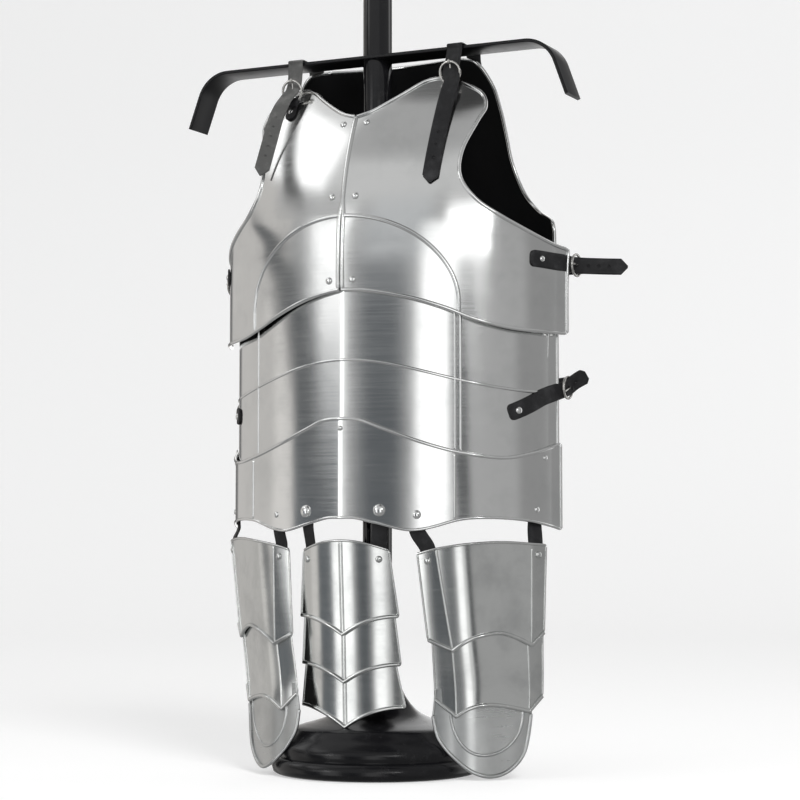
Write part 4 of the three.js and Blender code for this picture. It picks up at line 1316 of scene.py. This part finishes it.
class SideStraps:
    """Straps that join breast and waist to the back, each through a ring by the side edge."""

    lie = GAP + LEATHER / 2

    @staticmethod
    def upper_at(side: Side) -> SideFitting:
        """The strap on the breast."""
        tip = (283, 80, 583) if side is Side.LEFT else (238, 100, 578)
        return SideFitting(BREAST, 206, 588, 585, tip, Tip.POINTED)

    @staticmethod
    def lower_at(side: Side) -> SideFitting:
        """The strap on the waist plate."""
        if side is Side.LEFT:
            return SideFitting(WAIST, 182, 415, 444, (236, 69, 459), Tip.CLIPPED, (16, 28))
        return SideFitting(WAIST, 182, 417, 424, (226, 100, 430), Tip.CLIPPED, (16, 28))

    def route(self, fitting: SideFitting) -> tuple[Strap, RingBuckle]:
        """The strap and its buckle, for the left side."""
        section, x, z = fitting.section, fitting.x, fitting.z
        reach = float(section.column(1, np.array(z, float)))
        rim = section.on(reach, z)
        climb = (fitting.buckle_z - z) / 66
        first, last = (section.girth_at(np.array(at), z) for at in (x - 7.0, reach - 0.05))
        girths = first + (last - first) * np.array([0, 0.25, 0.5, 0.75, 0.94])
        flat = section.point(girths, np.full(5, float(z)))
        runs = flat[:, 0]
        level = z + (flat[:, 1] - section.on(x, z)[1]) * climb
        plate = section.at(runs, level, self.lie).points
        centre = np.array([reach + 7.5, rim[1] + 14, fitting.buckle_z])
        along = unit(np.array([0.06, 1, climb]))
        end = np.array(fitting.tip, float)
        before = (centre + end) / 2 + np.array([-3, 1.5, 0])
        up = np.array([0, 0, 1.0])

        def width_on(direction: Array) -> Array:
            """Square to the climbing strap, on a surface that runs in the direction given."""
            return unit(up - direction * climb)

        stages = [(i / 7, width_on(section.sideways(run, z))) for i, run in enumerate(runs)]
        stages.append((0.75, width_on(np.array([0, 1.0, 0]))))
        strap = Strap([*plate, centre, before, end], shifting(stages), start=Tip.EASED, end=fitting.cut,
                      holes=fitting.holes)
        return strap, RingBuckle(centre, -along, width_on(np.array([0, 1.0, 0])))

    def tab(self, fitting: SideFitting, ring: RingBuckle) -> Strap:
        """From the back plate round the far side of the ring."""
        wire = ring.centre - unit(ring.along) * ring.radius
        wrap = ring.wire + GAP + LEATHER / 2
        z, back_x = fitting.buckle_z, BackPlate.tab_x
        route = [
            [wire[0] + wrap * 0.9, wire[1] - 7, wire[2]],
            [wire[0] + wrap, wire[1] - 0.5, wire[2]],
            [wire[0] + wrap * 0.5, wire[1] + wrap * 0.87, wire[2]],
            [wire[0] - wrap * 0.5, wire[1] + wrap, wire[2]],
            [wire[0] - 14, wire[1] + wrap + 1, wire[2]],
            BACK.at(back_x + 8, z, self.lie + 0.6).points,
            BACK.at(back_x, z, self.lie).points,
            BACK.at(back_x - 9, z, self.lie).points,
        ]
        return Strap(route, steady((0, 0, 1)), width=16, end=Tip.ROUND)

    def build(self) -> None:
        """Four straps with their buckles and tabs; the right ones are the left's, turned round in X."""
        for level, fitting_at in (("upper", self.upper_at), ("lower", self.lower_at)):
            for side in Side:
                fitting = fitting_at(side)
                strap, ring = self.route(fitting)
                for word, made in (("strap", strap), ("tab", self.tab(fitting, ring))):
                    shape = Shape()
                    made.build(shape)
                    shape.face(side)
                    shape.finish(f"{level}_leather_{word}_{side.word}", [LEATHER_BLACK.material()], "leather",
                                 [f"{level}_{word}_{side.word}"])
                shape = Shape()
                ring.build(shape)
                shape.face(side)
                shape.finish(f"{level}_ring_{side.word}", [NICKEL.material()], "buckle_metal",
                             [f"{level}_buckle_{side.word}"])


# ------------------------------------------------------------------ tassets


@dataclass(frozen=True)
class Hang:
    """How a side tasset hangs: its shift, and its sway for each millimetre of drop."""

    x: float
    z: float
    sway_x: float
    sway_y: float


@dataclass(frozen=True)
class Lame:
    """One lame of a side tasset: its outline, and the X of its two creases below and above."""

    top: tuple
    bottom: tuple
    inner_crease: tuple
    outer_crease: tuple
    pointed: bool = True


@dataclass
class SideTasset:
    """Three lames hanging over a thigh.

    Attributes:
        side: The wearer's side.
        hang: How it hangs.
        inner_x: X of its inner edge.
        slope: Fall to the back for each millimetre outwards.
        bend: Growth of that fall.
        ridge: Height of the low ridge down its middle.
    """

    side: Side
    hang: Hang
    inner_x: float = 88.0
    slope: float = 0.15
    bend: float = 0.0043
    ridge: float = 3.0
    top_z: float = 266.0
    tuck: float = 3.0
    lip: float = 0.8
    fall: tuple = ((0, -41), (90, -43), (160, -57), (270, -75))
    lames: tuple = (
        Lame(((85, 253), (107, 258.5), (142, 264), (174, 266), (208, 263)),
             ((90, 157), (117.5, 145), (138, 158), (161.5, 164.5), (177, 160), (191, 150.5), (201.5, 165)),
             (117.5, 107), (191, 197)),
        Lame(((95, 176), (142, 178), (202, 176)),
             ((92, 90), (116, 71), (131, 80), (148.5, 84), (167, 81.5), (185, 76), (196, 93)),
             (116, 117), (185, 190)),
        Lame(((94, 101), (138, 103), (187, 101)),
             ((90, 72), (94.5, 50), (104, 35), (115.5, 23), (133, 10), (151, 4.5), (168, 12), (181, 33), (187, 74)),
             (), (), pointed=False),
    )

    def inner_y(self, z: Array) -> Array:
        """Y of the inner edge at height z, by the same cubic as the body's columns."""
        rows = [[height, value, value, value, value] for height, value in self.fall]
        return Section(rows).column(1, z)

    def point(self, x: Array, z: Array) -> Array:
        """Where x, z of a left tasset hanging straight come to be.

        y = inner y + slope (x - inner x) + bend (x - inner x)^2, less a low rounded ridge
        h (1 - cos) / 2 over 110..165, then the sway.
        """
        drop, out = self.top_z - z, x - self.inner_x
        ridge = self.ridge * (1 - np.cos(2 * math.pi * np.clip((x - 110) / 55, 0, 1))) / 2
        y = self.inner_y(z) + self.slope * out + self.bend * out * out - ridge
        hang = self.hang
        return np.stack([
            self.side.value * x + hang.x + hang.sway_x * drop,
            y + hang.sway_y * drop,
            z + hang.z,
        ], -1)

    def folded(self, lame: Lame, x: Array, z: Array) -> Array:
        """The surface with its two strips turned back along the creases."""
        point = self.point(x, z)
        if lame.pointed:
            low, high = lame.bottom[1][1], lame.top[1][1]
            t = np.clip((z - low) / (high - low), 0, 1)
            inner = lame.inner_crease[0] + (lame.inner_crease[1] - lame.inner_crease[0]) * t
            outer = lame.outer_crease[0] + (lame.outer_crease[1] - lame.outer_crease[0]) * t
            point[..., 1] += 0.10 * np.maximum(inner - x, 0) + 0.35 * np.maximum(x - outer, 0)
        return point

    def face(self, x: float, z: float) -> tuple[float, float]:
        """The x, z of the straight tasset that comes to be at a world x, z."""
        level = z - self.hang.z
        across = x - self.hang.x - self.hang.sway_x * (self.top_z - level)
        return abs(across), level

    def grid(self, index: int) -> Array:
        """The outline of one lame: a Coons patch between its four edges, in x, z."""
        lame = self.lames[index]
        bottom = np.array(lame.bottom, float)
        low = scallops(bottom, (1, len(bottom) - 2)) if lame.pointed else spline(bottom)
        inner, outer = chain([lame.bottom[0], lame.top[0]]), chain([lame.bottom[-1], lame.top[-1]])
        return patch_grid(low, spline(lame.top), inner, outer, np.linspace(0, 1, 97), np.linspace(0, 1, 40))

    def over(self, index: int, x: Array, z: Array) -> Panel:
        """A lame's outer face over x, z; lower lames tuck in behind the one above."""
        lame = self.lames[index]
        away = np.zeros_like(np.asarray(x, float))
        if index:
            low, high = min(height for _, height in lame.bottom), lame.top[0][1]
            away = -(self.lip + (self.tuck - self.lip) * np.clip((z - low) / (high - low), 0, 1))
        panel = Panel.over(lambda a, b: self.folded(lame, a, b), x, z)
        normals = panel.normals * self.side.value
        return Panel(panel.points + normals * away[..., None], normals)

    def build(self) -> None:
        """The lames with their rims, creases and rivets."""
        for index, lame in enumerate(self.lames):
            shape = Shape()
            places = self.grid(index)
            panel = self.over(index, places[..., 0], places[..., 1])
            shape.sheet(panel, PLATE)
            shape.bead(panel.edge(Edge.LOW), 2.3, 2.2, 0.6)
            for which in (Edge.NEAR, Edge.FAR):
                shape.bead(panel.edge(which), 1.2, 1.2, 0.1)
            if lame.pointed:
                self.crease_beads(shape, index)
            else:
                turn = np.linspace(math.radians(176), math.radians(364), 60)
                x, z = 145 + 35 * np.cos(turn), 74 + 46 * np.sin(turn)
                shape.bead(self.over(index, x, z), 1.8, 1.4, 0.0)
            if index == 0:
                shape.bead(panel.edge(Edge.HIGH), 1.5, 1.5, 0.2)
                for hanger in Hangers.rows:
                    if hanger.tasset == self.side.word:
                        x, z = self.face(*hanger.foot)
                        shape.rivet(self.over(0, np.array(x), np.array(z)), 4.0, 2.4)
            word = self.side.word
            looks = steel_looks(TASSET_STEEL if lame.pointed else SATIN)
            shape.finish(f"thigh_{word}_{index + 1}", looks, "steel", [f"tasset_{word}_lame_{index + 1}"])

    def crease_beads(self, shape: Shape, index: int) -> None:
        """A raised line along each crease."""
        lame = self.lames[index]
        low, high = lame.bottom[1][1], lame.top[1][1]
        creases = ((lame.inner_crease, low, 1.5), (lame.outer_crease, lame.bottom[-2][1], 1.0))
        for crease, start, wide in creases:
            z = np.linspace(start, high, 50)
            t = np.clip((z - low) / (high - low), 0, 1)
            x = crease[0] + (crease[1] - crease[0]) * t
            shape.bead(self.over(index, x, z), wide, 1.0, 0.0)


@dataclass
class CentreTasset:
    """Three narrow lames hanging in front, ridged down the middle.

    Attributes:
        ridge: Y of the ridge at the top.
        lean: How much it falls back for each millimetre of drop.
        fold: How far its sides fall back at the fold's width.
        lames: For each its half width and height above, rise of the top, half width,
            corner height and tip height below.
    """

    top_z: float = 268.0
    ridge: float = -94.5
    lean: float = 0.06
    fold: float = 15.0
    fold_width: float = 56.0
    tuck: float = 3.0
    lip: float = 0.8
    lames: tuple = (
        (54, 257, 11, 62, 183, 162.5),
        (57, 200, 0, 63, 129, 109),
        (57, 138, 0, 66, 81, 58),
    )

    def point(self, x: Array, z: Array) -> Array:
        """y = ridge + lean (top - z) + fold (|x| / fold width)^2.3."""
        back = self.fold * (np.abs(x) / self.fold_width) ** 2.3
        return np.stack([x, self.ridge + self.lean * (self.top_z - z) + back, z], -1)

    def over(self, index: int, x: Array, z: Array) -> Panel:
        """A lame's outer face over x, z."""
        away = np.zeros_like(np.asarray(x, float))
        if index:
            high, low = self.lames[index][1], self.lames[index][5]
            away = -(self.lip + (self.tuck - self.lip) * np.clip((z - low) / (high - low), 0, 1))
        return Panel.over(self.point, x, z, away)

    def build(self) -> None:
        """The lames; the lower edge is z = tip + (corner - tip)(1 - (1 - |a|)^2) over a in -1..1."""
        for index, (top_width, top_z, rise, low_width, corner, tip) in enumerate(self.lames):
            across = np.linspace(-1, 1, 81)
            up = np.linspace(0, 1, 36)[:, None]
            high = top_z + rise * (1 - across**2)
            low = tip + (corner - tip) * (1 - (1 - np.abs(across)) ** 2)
            x = across * (low_width + (top_width - low_width) * up)
            panel = self.over(index, x, low + (high - low) * up)
            shape = Shape()
            shape.sheet(panel, PLATE)
            shape.bead(panel.edge(Edge.LOW), 2.3, 2.2, 0.6)
            for which in (Edge.NEAR, Edge.FAR):
                shape.bead(panel.edge(which), 1.2, 1.2, 0.1)
            for shift in (-1.7, 1.7):
                z = np.linspace(tip + 1, top_z + rise - 1, 60)
                shape.bead(self.over(index, np.full(60, shift), z), 1.1, 0.9, 0.0)
            if index == 0:
                shape.bead(panel.edge(Edge.HIGH), 1.4, 1.4, 0.2)
                for hanger in Hangers.rows:
                    if hanger.tasset == "centre":
                        shape.rivet(self.over(0, *map(np.array, hanger.foot)), 4.0, 2.4)
            looks, number = steel_looks(TASSET_STEEL), index + 1
            shape.finish(f"front_lame_{number}", looks, "steel", [f"tasset_centre_lame_{number}"])


@dataclass(frozen=True)
class HangerRow:
    """A hanger strap: its tasset, the rivet above it and the rivet below, and the upper head."""

    name: str
    tasset: str
    top: tuple
    foot: tuple
    head: float


TASSETS = {
    Side.LEFT: SideTasset(Side.LEFT, Hang(0, 0, 0.018, -0.036)),
    Side.RIGHT: SideTasset(Side.RIGHT, Hang(6, 5, 0.14, -0.24)),
}
CENTRE = CentreTasset()


class Hangers:
    """Short straps behind the plates, from the fauld down to the tassets."""

    rows = (
        HangerRow("centre_right", "centre", (-48, 301.5), (-48, 247), 7.0),
        HangerRow("centre_left", "centre", (46, 302), (44, 247), 7.0),
        HangerRow("left_inner", "left", (87, 297), (97, 245), 5.0),
        HangerRow("left_outer", "left", (199, 303), (202, 252), 3.4),
        HangerRow("right_inner", "right", (-94, 298), (-91, 250), 3.6),
        HangerRow("right_outer", "right", (-199, 303), (-198, 257), 3.4),
    )
    width = 18.0
    slack = 0.75

    def tasset_at(self, row: HangerRow, z: float) -> tuple[Panel, Array]:
        """Place and crosswise direction on the row's tasset at the foot's X and a height."""
        if row.tasset == "centre":
            surface, x, level = CENTRE.point, row.foot[0], z
            sign = 1
        else:
            tasset = TASSETS[Side.LEFT if row.tasset == "left" else Side.RIGHT]
            x, level = tasset.face(row.foot[0], z)
            surface, sign = tasset.point, tasset.side.value
        here = Panel.over(surface, np.array(float(x)), np.array(float(level)))
        one, two = (surface(np.array(x + step), np.array(level)) for step in (0.5, -0.5))
        across = unit(one - two)
        return Panel(here.points, here.normals * sign), across * sign

    def strap(self, row: HangerRow) -> Strap:
        """Down behind the fauld and behind the tasset."""
        depth = PLATE + GAP + self.slack + LEATHER / 2
        x, z = row.top
        above = [FAULD.at(x, z + 10, -depth), FAULD.at(x, z, -depth), FAULD.at(x, z - 18, -depth - 0.6)]
        route = [panel.points for panel in above]
        for drop, extra in ((14, 1.2), (0, 0.0), (-9, 0.0)):
            here, _ = self.tasset_at(row, row.foot[1] + drop)
            route.append(here.points - here.normals * (depth + extra))
        upper = FAULD.sideways(x, z)
        lower = self.tasset_at(row, row.foot[1])[1]
        return Strap(route, shifting([(0, upper), (0.7, lower)]), width=self.width)

    def build(self) -> None:
        """Six straps."""
        for row in self.rows:
            shape = Shape()
            self.strap(row).build(shape)
            shape.finish(f"hanging_strap_{row.name}", [LEATHER_BLACK.material()], "leather", [f"hanger_{row.name}"])


# ------------------------------------------------------------------ stand


BAR_TOP = 838.0
BAR_THICKNESS = 4.0
BAR_DEPTH = 40.0


@dataclass
class Stand:
    """A round pole in a turned base, with a flat bar across that carries the straps."""

    pole_radius: float = 17.2
    pole_foot: float = 30.0
    straight: float = 195.0
    bend: float = 42.0
    turn: float = math.radians(70)
    tail: float = 42.0
    bore: float = 17.6
    profile: tuple = (
        (0, 0), (112, 0), (117, 1.2), (120.5, 3.6), (122, 9), (121, 14.5), (119, 17.5), (116, 19.6),
        (113.5, 20.5), (113.6, 22), (115, 25), (115, 30), (112.5, 35), (105, 42), (100.5, 46.5), (97.5, 51),
        (95, 53), (88, 55.5), (75, 59), (62, 63), (52.5, 67.5), (45, 73), (38.5, 80), (33, 88),
        (28.5, 97), (25.4, 104.5), (25, 107), (24.4, 110), (22.5, 112), (17.7, 112),
    )

    def route(self, s: Array) -> tuple[Array, Array]:
        """Points of the bar's top line and its upward normals at a length s from the middle."""
        arc = self.bend * self.turn
        side, away = np.sign(s), np.abs(s)
        angle = np.clip((away - self.straight) / self.bend, 0, self.turn)
        rest = np.maximum(away - self.straight - arc, 0)
        x = np.minimum(away, self.straight) + self.bend * np.sin(angle) + rest * np.cos(angle)
        z = BAR_TOP - self.bend * (1 - np.cos(angle)) - rest * np.sin(angle)
        points = np.stack([side * x, np.zeros_like(x), z], -1)
        return points, np.stack([side * np.sin(angle), np.zeros_like(x), np.cos(angle)], -1)

    def bar(self) -> Shape:
        """The bar: an oblong section with eased corners carried along the route."""
        shape = Shape()
        length = self.straight + self.bend * self.turn + self.tail
        middle = np.linspace(-self.straight, self.straight, 40)[1:-1]
        end = np.linspace(self.straight, length, 40)
        s = np.concatenate([np.linspace(-length, -self.straight, 40), middle, end])
        top, up = self.route(s)
        half, corner = BAR_DEPTH / 2, 0.9
        turns = np.linspace(0, math.pi / 2, 4)
        ease = [(half - corner * (1 - math.sin(a)), -corner * (1 - math.cos(a))) for a in turns]
        right = [(y, z) for y, z in ease] + [(y, -BAR_THICKNESS - z) for y, z in reversed(ease)]
        ring = np.array(right + [(-y, z) for y, z in reversed(right)])
        points = top[:, None] + np.array([0, 1.0, 0]) * ring[None, :, :1] + up[:, None] * ring[None, :, 1:]
        shape.loops(points[:, ::-1])
        return shape

    def build(self) -> None:
        """Pole, bar and base."""
        high = float(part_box("stand_pole")[1][2]) / MM
        shape = Shape()
        radius, foot = self.pole_radius, self.pole_foot
        shape.turned([(radius - 1, foot), (radius, foot + 1), (radius, 300), (radius, 600), (radius, high - 3),
                      (radius - 0.9, high - 1.2), (radius - 3, high)], np.zeros(3), np.array([0, 0, 1.0]), 72)
        shape.finish("pole", [ENAMEL.material()], "lacquer", ["stand_pole"])
        self.bar().finish("crossbar", [BAR_BLACK.material()], "lacquer", ["stand_crossbar"])
        shape = Shape()
        profile = [*self.profile[1:], (self.bore, 110), (self.bore, 29.6)]
        shape.turned(profile, np.zeros(3), np.array([0, 0, 1.0]), 128)
        shape.finish("base", [BASE_BLACK.material()], "lacquer", ["stand_base"])


# ------------------------------------------------------------------ studio


@dataclass(frozen=True)
class Card:
    """A soft-edged panel of light or dark in the room, by azimuth and elevation in degrees.

    Azimuth 0 is in front of the chest and grows towards the wearer's left. Soft is the
    width of the edges in degrees, tint is warm above 0 and cool below, and lean is how far the
    azimuth shifts for each degree above the card's middle.
    """

    azimuth: tuple
    elevation: tuple
    light: float
    soft: tuple = (5.0, 5.0)
    tint: float = 0.0
    lean: float = 0.0


class Studio:
    """A pale floor running up into a far wall, a room of soft panels, and the camera."""

    cards = (
        Card((-200, -60), (-95, 27), 0.56, (3, 8), 0.03),
        Card((-74, -61), (-95, 7), 0.74, (6, 6), 0.03),
        Card((-60, -36), (-95, 5), 0.15, (2.5, 4), -0.08),
        Card((-36.5, -16), (-95, 25), 1.6, (2.5, 8)),
        Card((-50, -34), (5, 21), 1.4, (9, 5)),
        Card((-73, -58), (0, 16), 0.11, (8, 5), -0.05, -2.8),
        Card((-72, -36), (20, 29), 0.46, (8, 6)),
        Card((-11, 8), (-95, 10), 0.11, (10, 7), -0.08),
        Card((-10, 17), (9, 30), 0.56, (9, 8), -0.02),
        Card((13, 30), (-95, 14), 1.5, (6, 7)),
        Card((30, 41), (-95, 9), 0.8, (7, 5)),
        Card((36, 46), (-26, 9), 0.10, (5, 5), -0.03, -0.35),
        Card((24, 46), (8, 24), 1.7, (8, 5)),
        Card((-40, 40), (27, 43), 0.62, (9, 6)),
        Card((-40, 45), (43, 66), 0.42, (9, 7)),
        Card((-50, 60), (66, 95), 0.12, (9, 6)),
        Card((12, 70), (55, 95), 0.05, (8, 7)),
        Card((-200, -38), (46, 95), 0.75, (9, 7)),
        Card((-52, -38), (29, 46), 0.66, (9, 6)),
        Card((-100, -48), (27, 47), 1.6, (7, 5)),
        Card((-85, -74), (23, 50), 0.03, (4, 6), 0.0, -1.35),
        Card((-33, -30), (9, 22), 9.0, (1.5, 3)),
        Card((46, 50), (11, 22), 9.0, (1.5, 3)),
        Card((84, 118), (-95, 20), 0.30, (14, 8)),
        Card((128, 150), (-95, 35), 1.5, (8, 9)),
        Card((158, 172), (-95, 30), 0.12, (9, 8)),
        Card((-172, -150), (-95, 40), 1.6, (8, 8)),
        Card((-140, -126), (-95, 24), 0.16, (8, 8)),
        Card((-200, 200), (-95, -24), 0.30, (1, 14)),
    )
    room = 0.42
    camera_azimuth = math.radians(26.5)

    def world(self) -> None:
        """The room: one colour with the cards laid over it in order."""
        world = bpy.data.worlds.new("studio_room")
        bpy.context.scene.world = world
        world.use_nodes = True
        tree = world.node_tree
        tree.nodes.clear()
        graph = Graph(tree)
        where = graph.node("ShaderNodeTexCoord").outputs["Generated"]
        parts = graph.node("ShaderNodeSeparateXYZ", {"Vector": where}).outputs
        back = graph.sum(parts["Y"], -1.0, "MULTIPLY")
        azimuth = graph.sum(graph.sum(parts["X"], back, "ARCTAN2"), 180 / math.pi, "MULTIPLY")
        arc = graph.node("ShaderNodeMath", {0: parts["Z"]}, operation="ARCSINE").outputs[0]
        elevation = graph.sum(arc, 180 / math.pi, "MULTIPLY")
        colour = (self.room, self.room, self.room, 1)
        for card in self.cards:
            masks = []
            across = azimuth
            if card.lean:
                middle = sum(card.elevation) / 2
                across = graph.sum(azimuth, graph.sum(graph.sum(elevation, -middle), -card.lean, "MULTIPLY"))
            spans = ((across, card.azimuth, card.soft[0]), (elevation, card.elevation, card.soft[1]))
            for value, (low, high), soft in spans:
                masks.append(graph.ranged(value, low - soft / 2, low + soft / 2, 0, 1, True))
                masks.append(graph.ranged(value, high - soft / 2, high + soft / 2, 1, 0, True))
            share = masks[0]
            for mask in masks[1:]:
                share = graph.sum(share, mask, "MULTIPLY")
            shade = (card.light * (1 + card.tint), card.light, card.light * (1 - card.tint), 1)
            colour = graph.mix(share, colour, shade)
        light = graph.node("ShaderNodeBackground", {"Color": colour, "Strength": 1.0})
        graph.node("ShaderNodeOutputWorld", {"Surface": light.outputs["Background"]})

    def cyclorama(self) -> None:
        """The floor and wall: a shallow bowl turned about the stand, seen only by the camera."""
        bend = np.linspace(0, math.pi / 2, 24)[1:]
        radius = np.concatenate([np.linspace(0.001, 4.0, 20), 4.0 + 2.0 * np.sin(bend), [6, 6]])
        height = np.concatenate([np.zeros(20), 2.0 * (1 - np.cos(bend)), [4, 9]])
        turn = np.linspace(0, 2 * math.pi, 96, endpoint=False)
        points = np.stack([radius[:, None] * np.cos(turn), radius[:, None] * np.sin(turn),
                           np.broadcast_to(height[:, None], (len(radius), 96))], -1)
        index = np.arange(len(radius) * 96).reshape(len(radius), 96)
        around = np.roll(index, -1, 1)
        quads = np.stack([index[:-1], index[1:], around[1:], around[:-1]], -1).reshape(-1, 4)
        mesh = bpy.data.meshes.new("cyclorama")
        mesh.from_pydata(points.reshape(-1, 3).tolist(), [], quads.tolist())
        mesh.polygons.foreach_set("use_smooth", np.ones(len(mesh.polygons), bool))
        paper = bpy.data.materials.new("paper")
        paper.use_nodes = True
        shader = paper.node_tree.nodes["Principled BSDF"]
        shader.inputs["Base Color"].default_value = (0.62, 0.62, 0.62, 1)
        shader.inputs["Roughness"].default_value = 0.9
        shader.inputs["Specular IOR Level"].default_value = 0.0
        shader.inputs["Emission Color"].default_value = (1, 1, 1, 1)
        shader.inputs["Emission Strength"].default_value = 0.46
        mesh.materials.append(paper)
        bowl = bpy.data.objects.new("cyclorama", mesh)
        bpy.context.scene.collection.objects.link(bowl)
        bowl.visible_glossy = False
        bowl.visible_diffuse = False
        bowl.visible_shadow = False
        bowl.visible_transmission = False
        bowl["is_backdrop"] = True

    def lights(self) -> None:
        """One broad lamp high on the wearer's left, for a soft shadow; it isn't mirrored."""
        data = bpy.data.lights.new("key", "AREA")
        data.shape = "DISK"
        data.size = 1.4
        data.energy = 75
        lamp = bpy.data.objects.new("key", data)
        place = Vector((2.2, -2.0, 2.6))
        aim = (Vector((0, 0, 0.4)) - place).to_track_quat("-Z", "Y")
        lamp.matrix_world = Matrix.Translation(place) @ aim.to_matrix().to_4x4()
        bpy.context.scene.collection.objects.link(lamp)
        lamp.visible_glossy = False

    def camera(self) -> None:
        """A long lens turned a little to the wearer's left, low and looking slightly up."""
        a, swing, rise = self.camera_azimuth, math.atan(22.5 / 2200), math.atan(145 / 2200)
        ahead, right = np.array([-math.sin(a), math.cos(a), 0]), np.array([math.cos(a), math.sin(a), 0])
        level = math.cos(swing) * ahead + math.sin(swing) * right
        right = math.cos(swing) * right - math.sin(swing) * ahead
        up = np.array([0, 0, 1.0])
        forward = math.cos(rise) * level + math.sin(rise) * up
        crown = math.cos(rise) * up - math.sin(rise) * level
        data = bpy.data.cameras.new("camera")
        data.lens, data.sensor_width = 99, 36
        data.clip_start, data.clip_end = 0.05, 60
        camera = bpy.data.objects.new("camera", data)
        turn = Matrix(np.stack([right, crown, -forward], 1).tolist()).to_4x4()
        place = Vector((2573 * math.sin(a), -2573 * math.cos(a), 263)) * MM
        camera.matrix_world = Matrix.Translation(place) @ turn
        bpy.context.scene.collection.objects.link(camera)
        bpy.context.scene.camera = camera

    def build(self) -> None:
        """Everything round the object."""
        self.world()
        self.cyclorama()
        self.lights()
        self.camera()
        bpy.context.scene.view_settings.view_transform = "Standard"


def main() -> None:
    """Builds the looks round the frame, in order."""
    logging.basicConfig(level=logging.INFO, format="%(message)s", stream=sys.stdout)
    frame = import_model()
    cad_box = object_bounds()
    log.info("frame with %d nodes", len(frame["nodes"]))
    Studio().build()
    parts = [BreastPlates(), WaistPlate(), Fauld(), BackPlate(), ShoulderStraps(), SideStraps(),
             *TASSETS.values(), CENTRE, Hangers(), Stand()]
    for part in parts:
        part.build()
    strip = frame["nodes"]["breast_seam_strip"]
    strip.data.materials.clear()
    strip.data.materials.append(LINING.material())
    boxes = {"cad": cad_box, "visual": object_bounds()}
    {key: [list(corner) for corner in box] for key, box in boxes.items()}


if __name__ == "__main__":
    main()
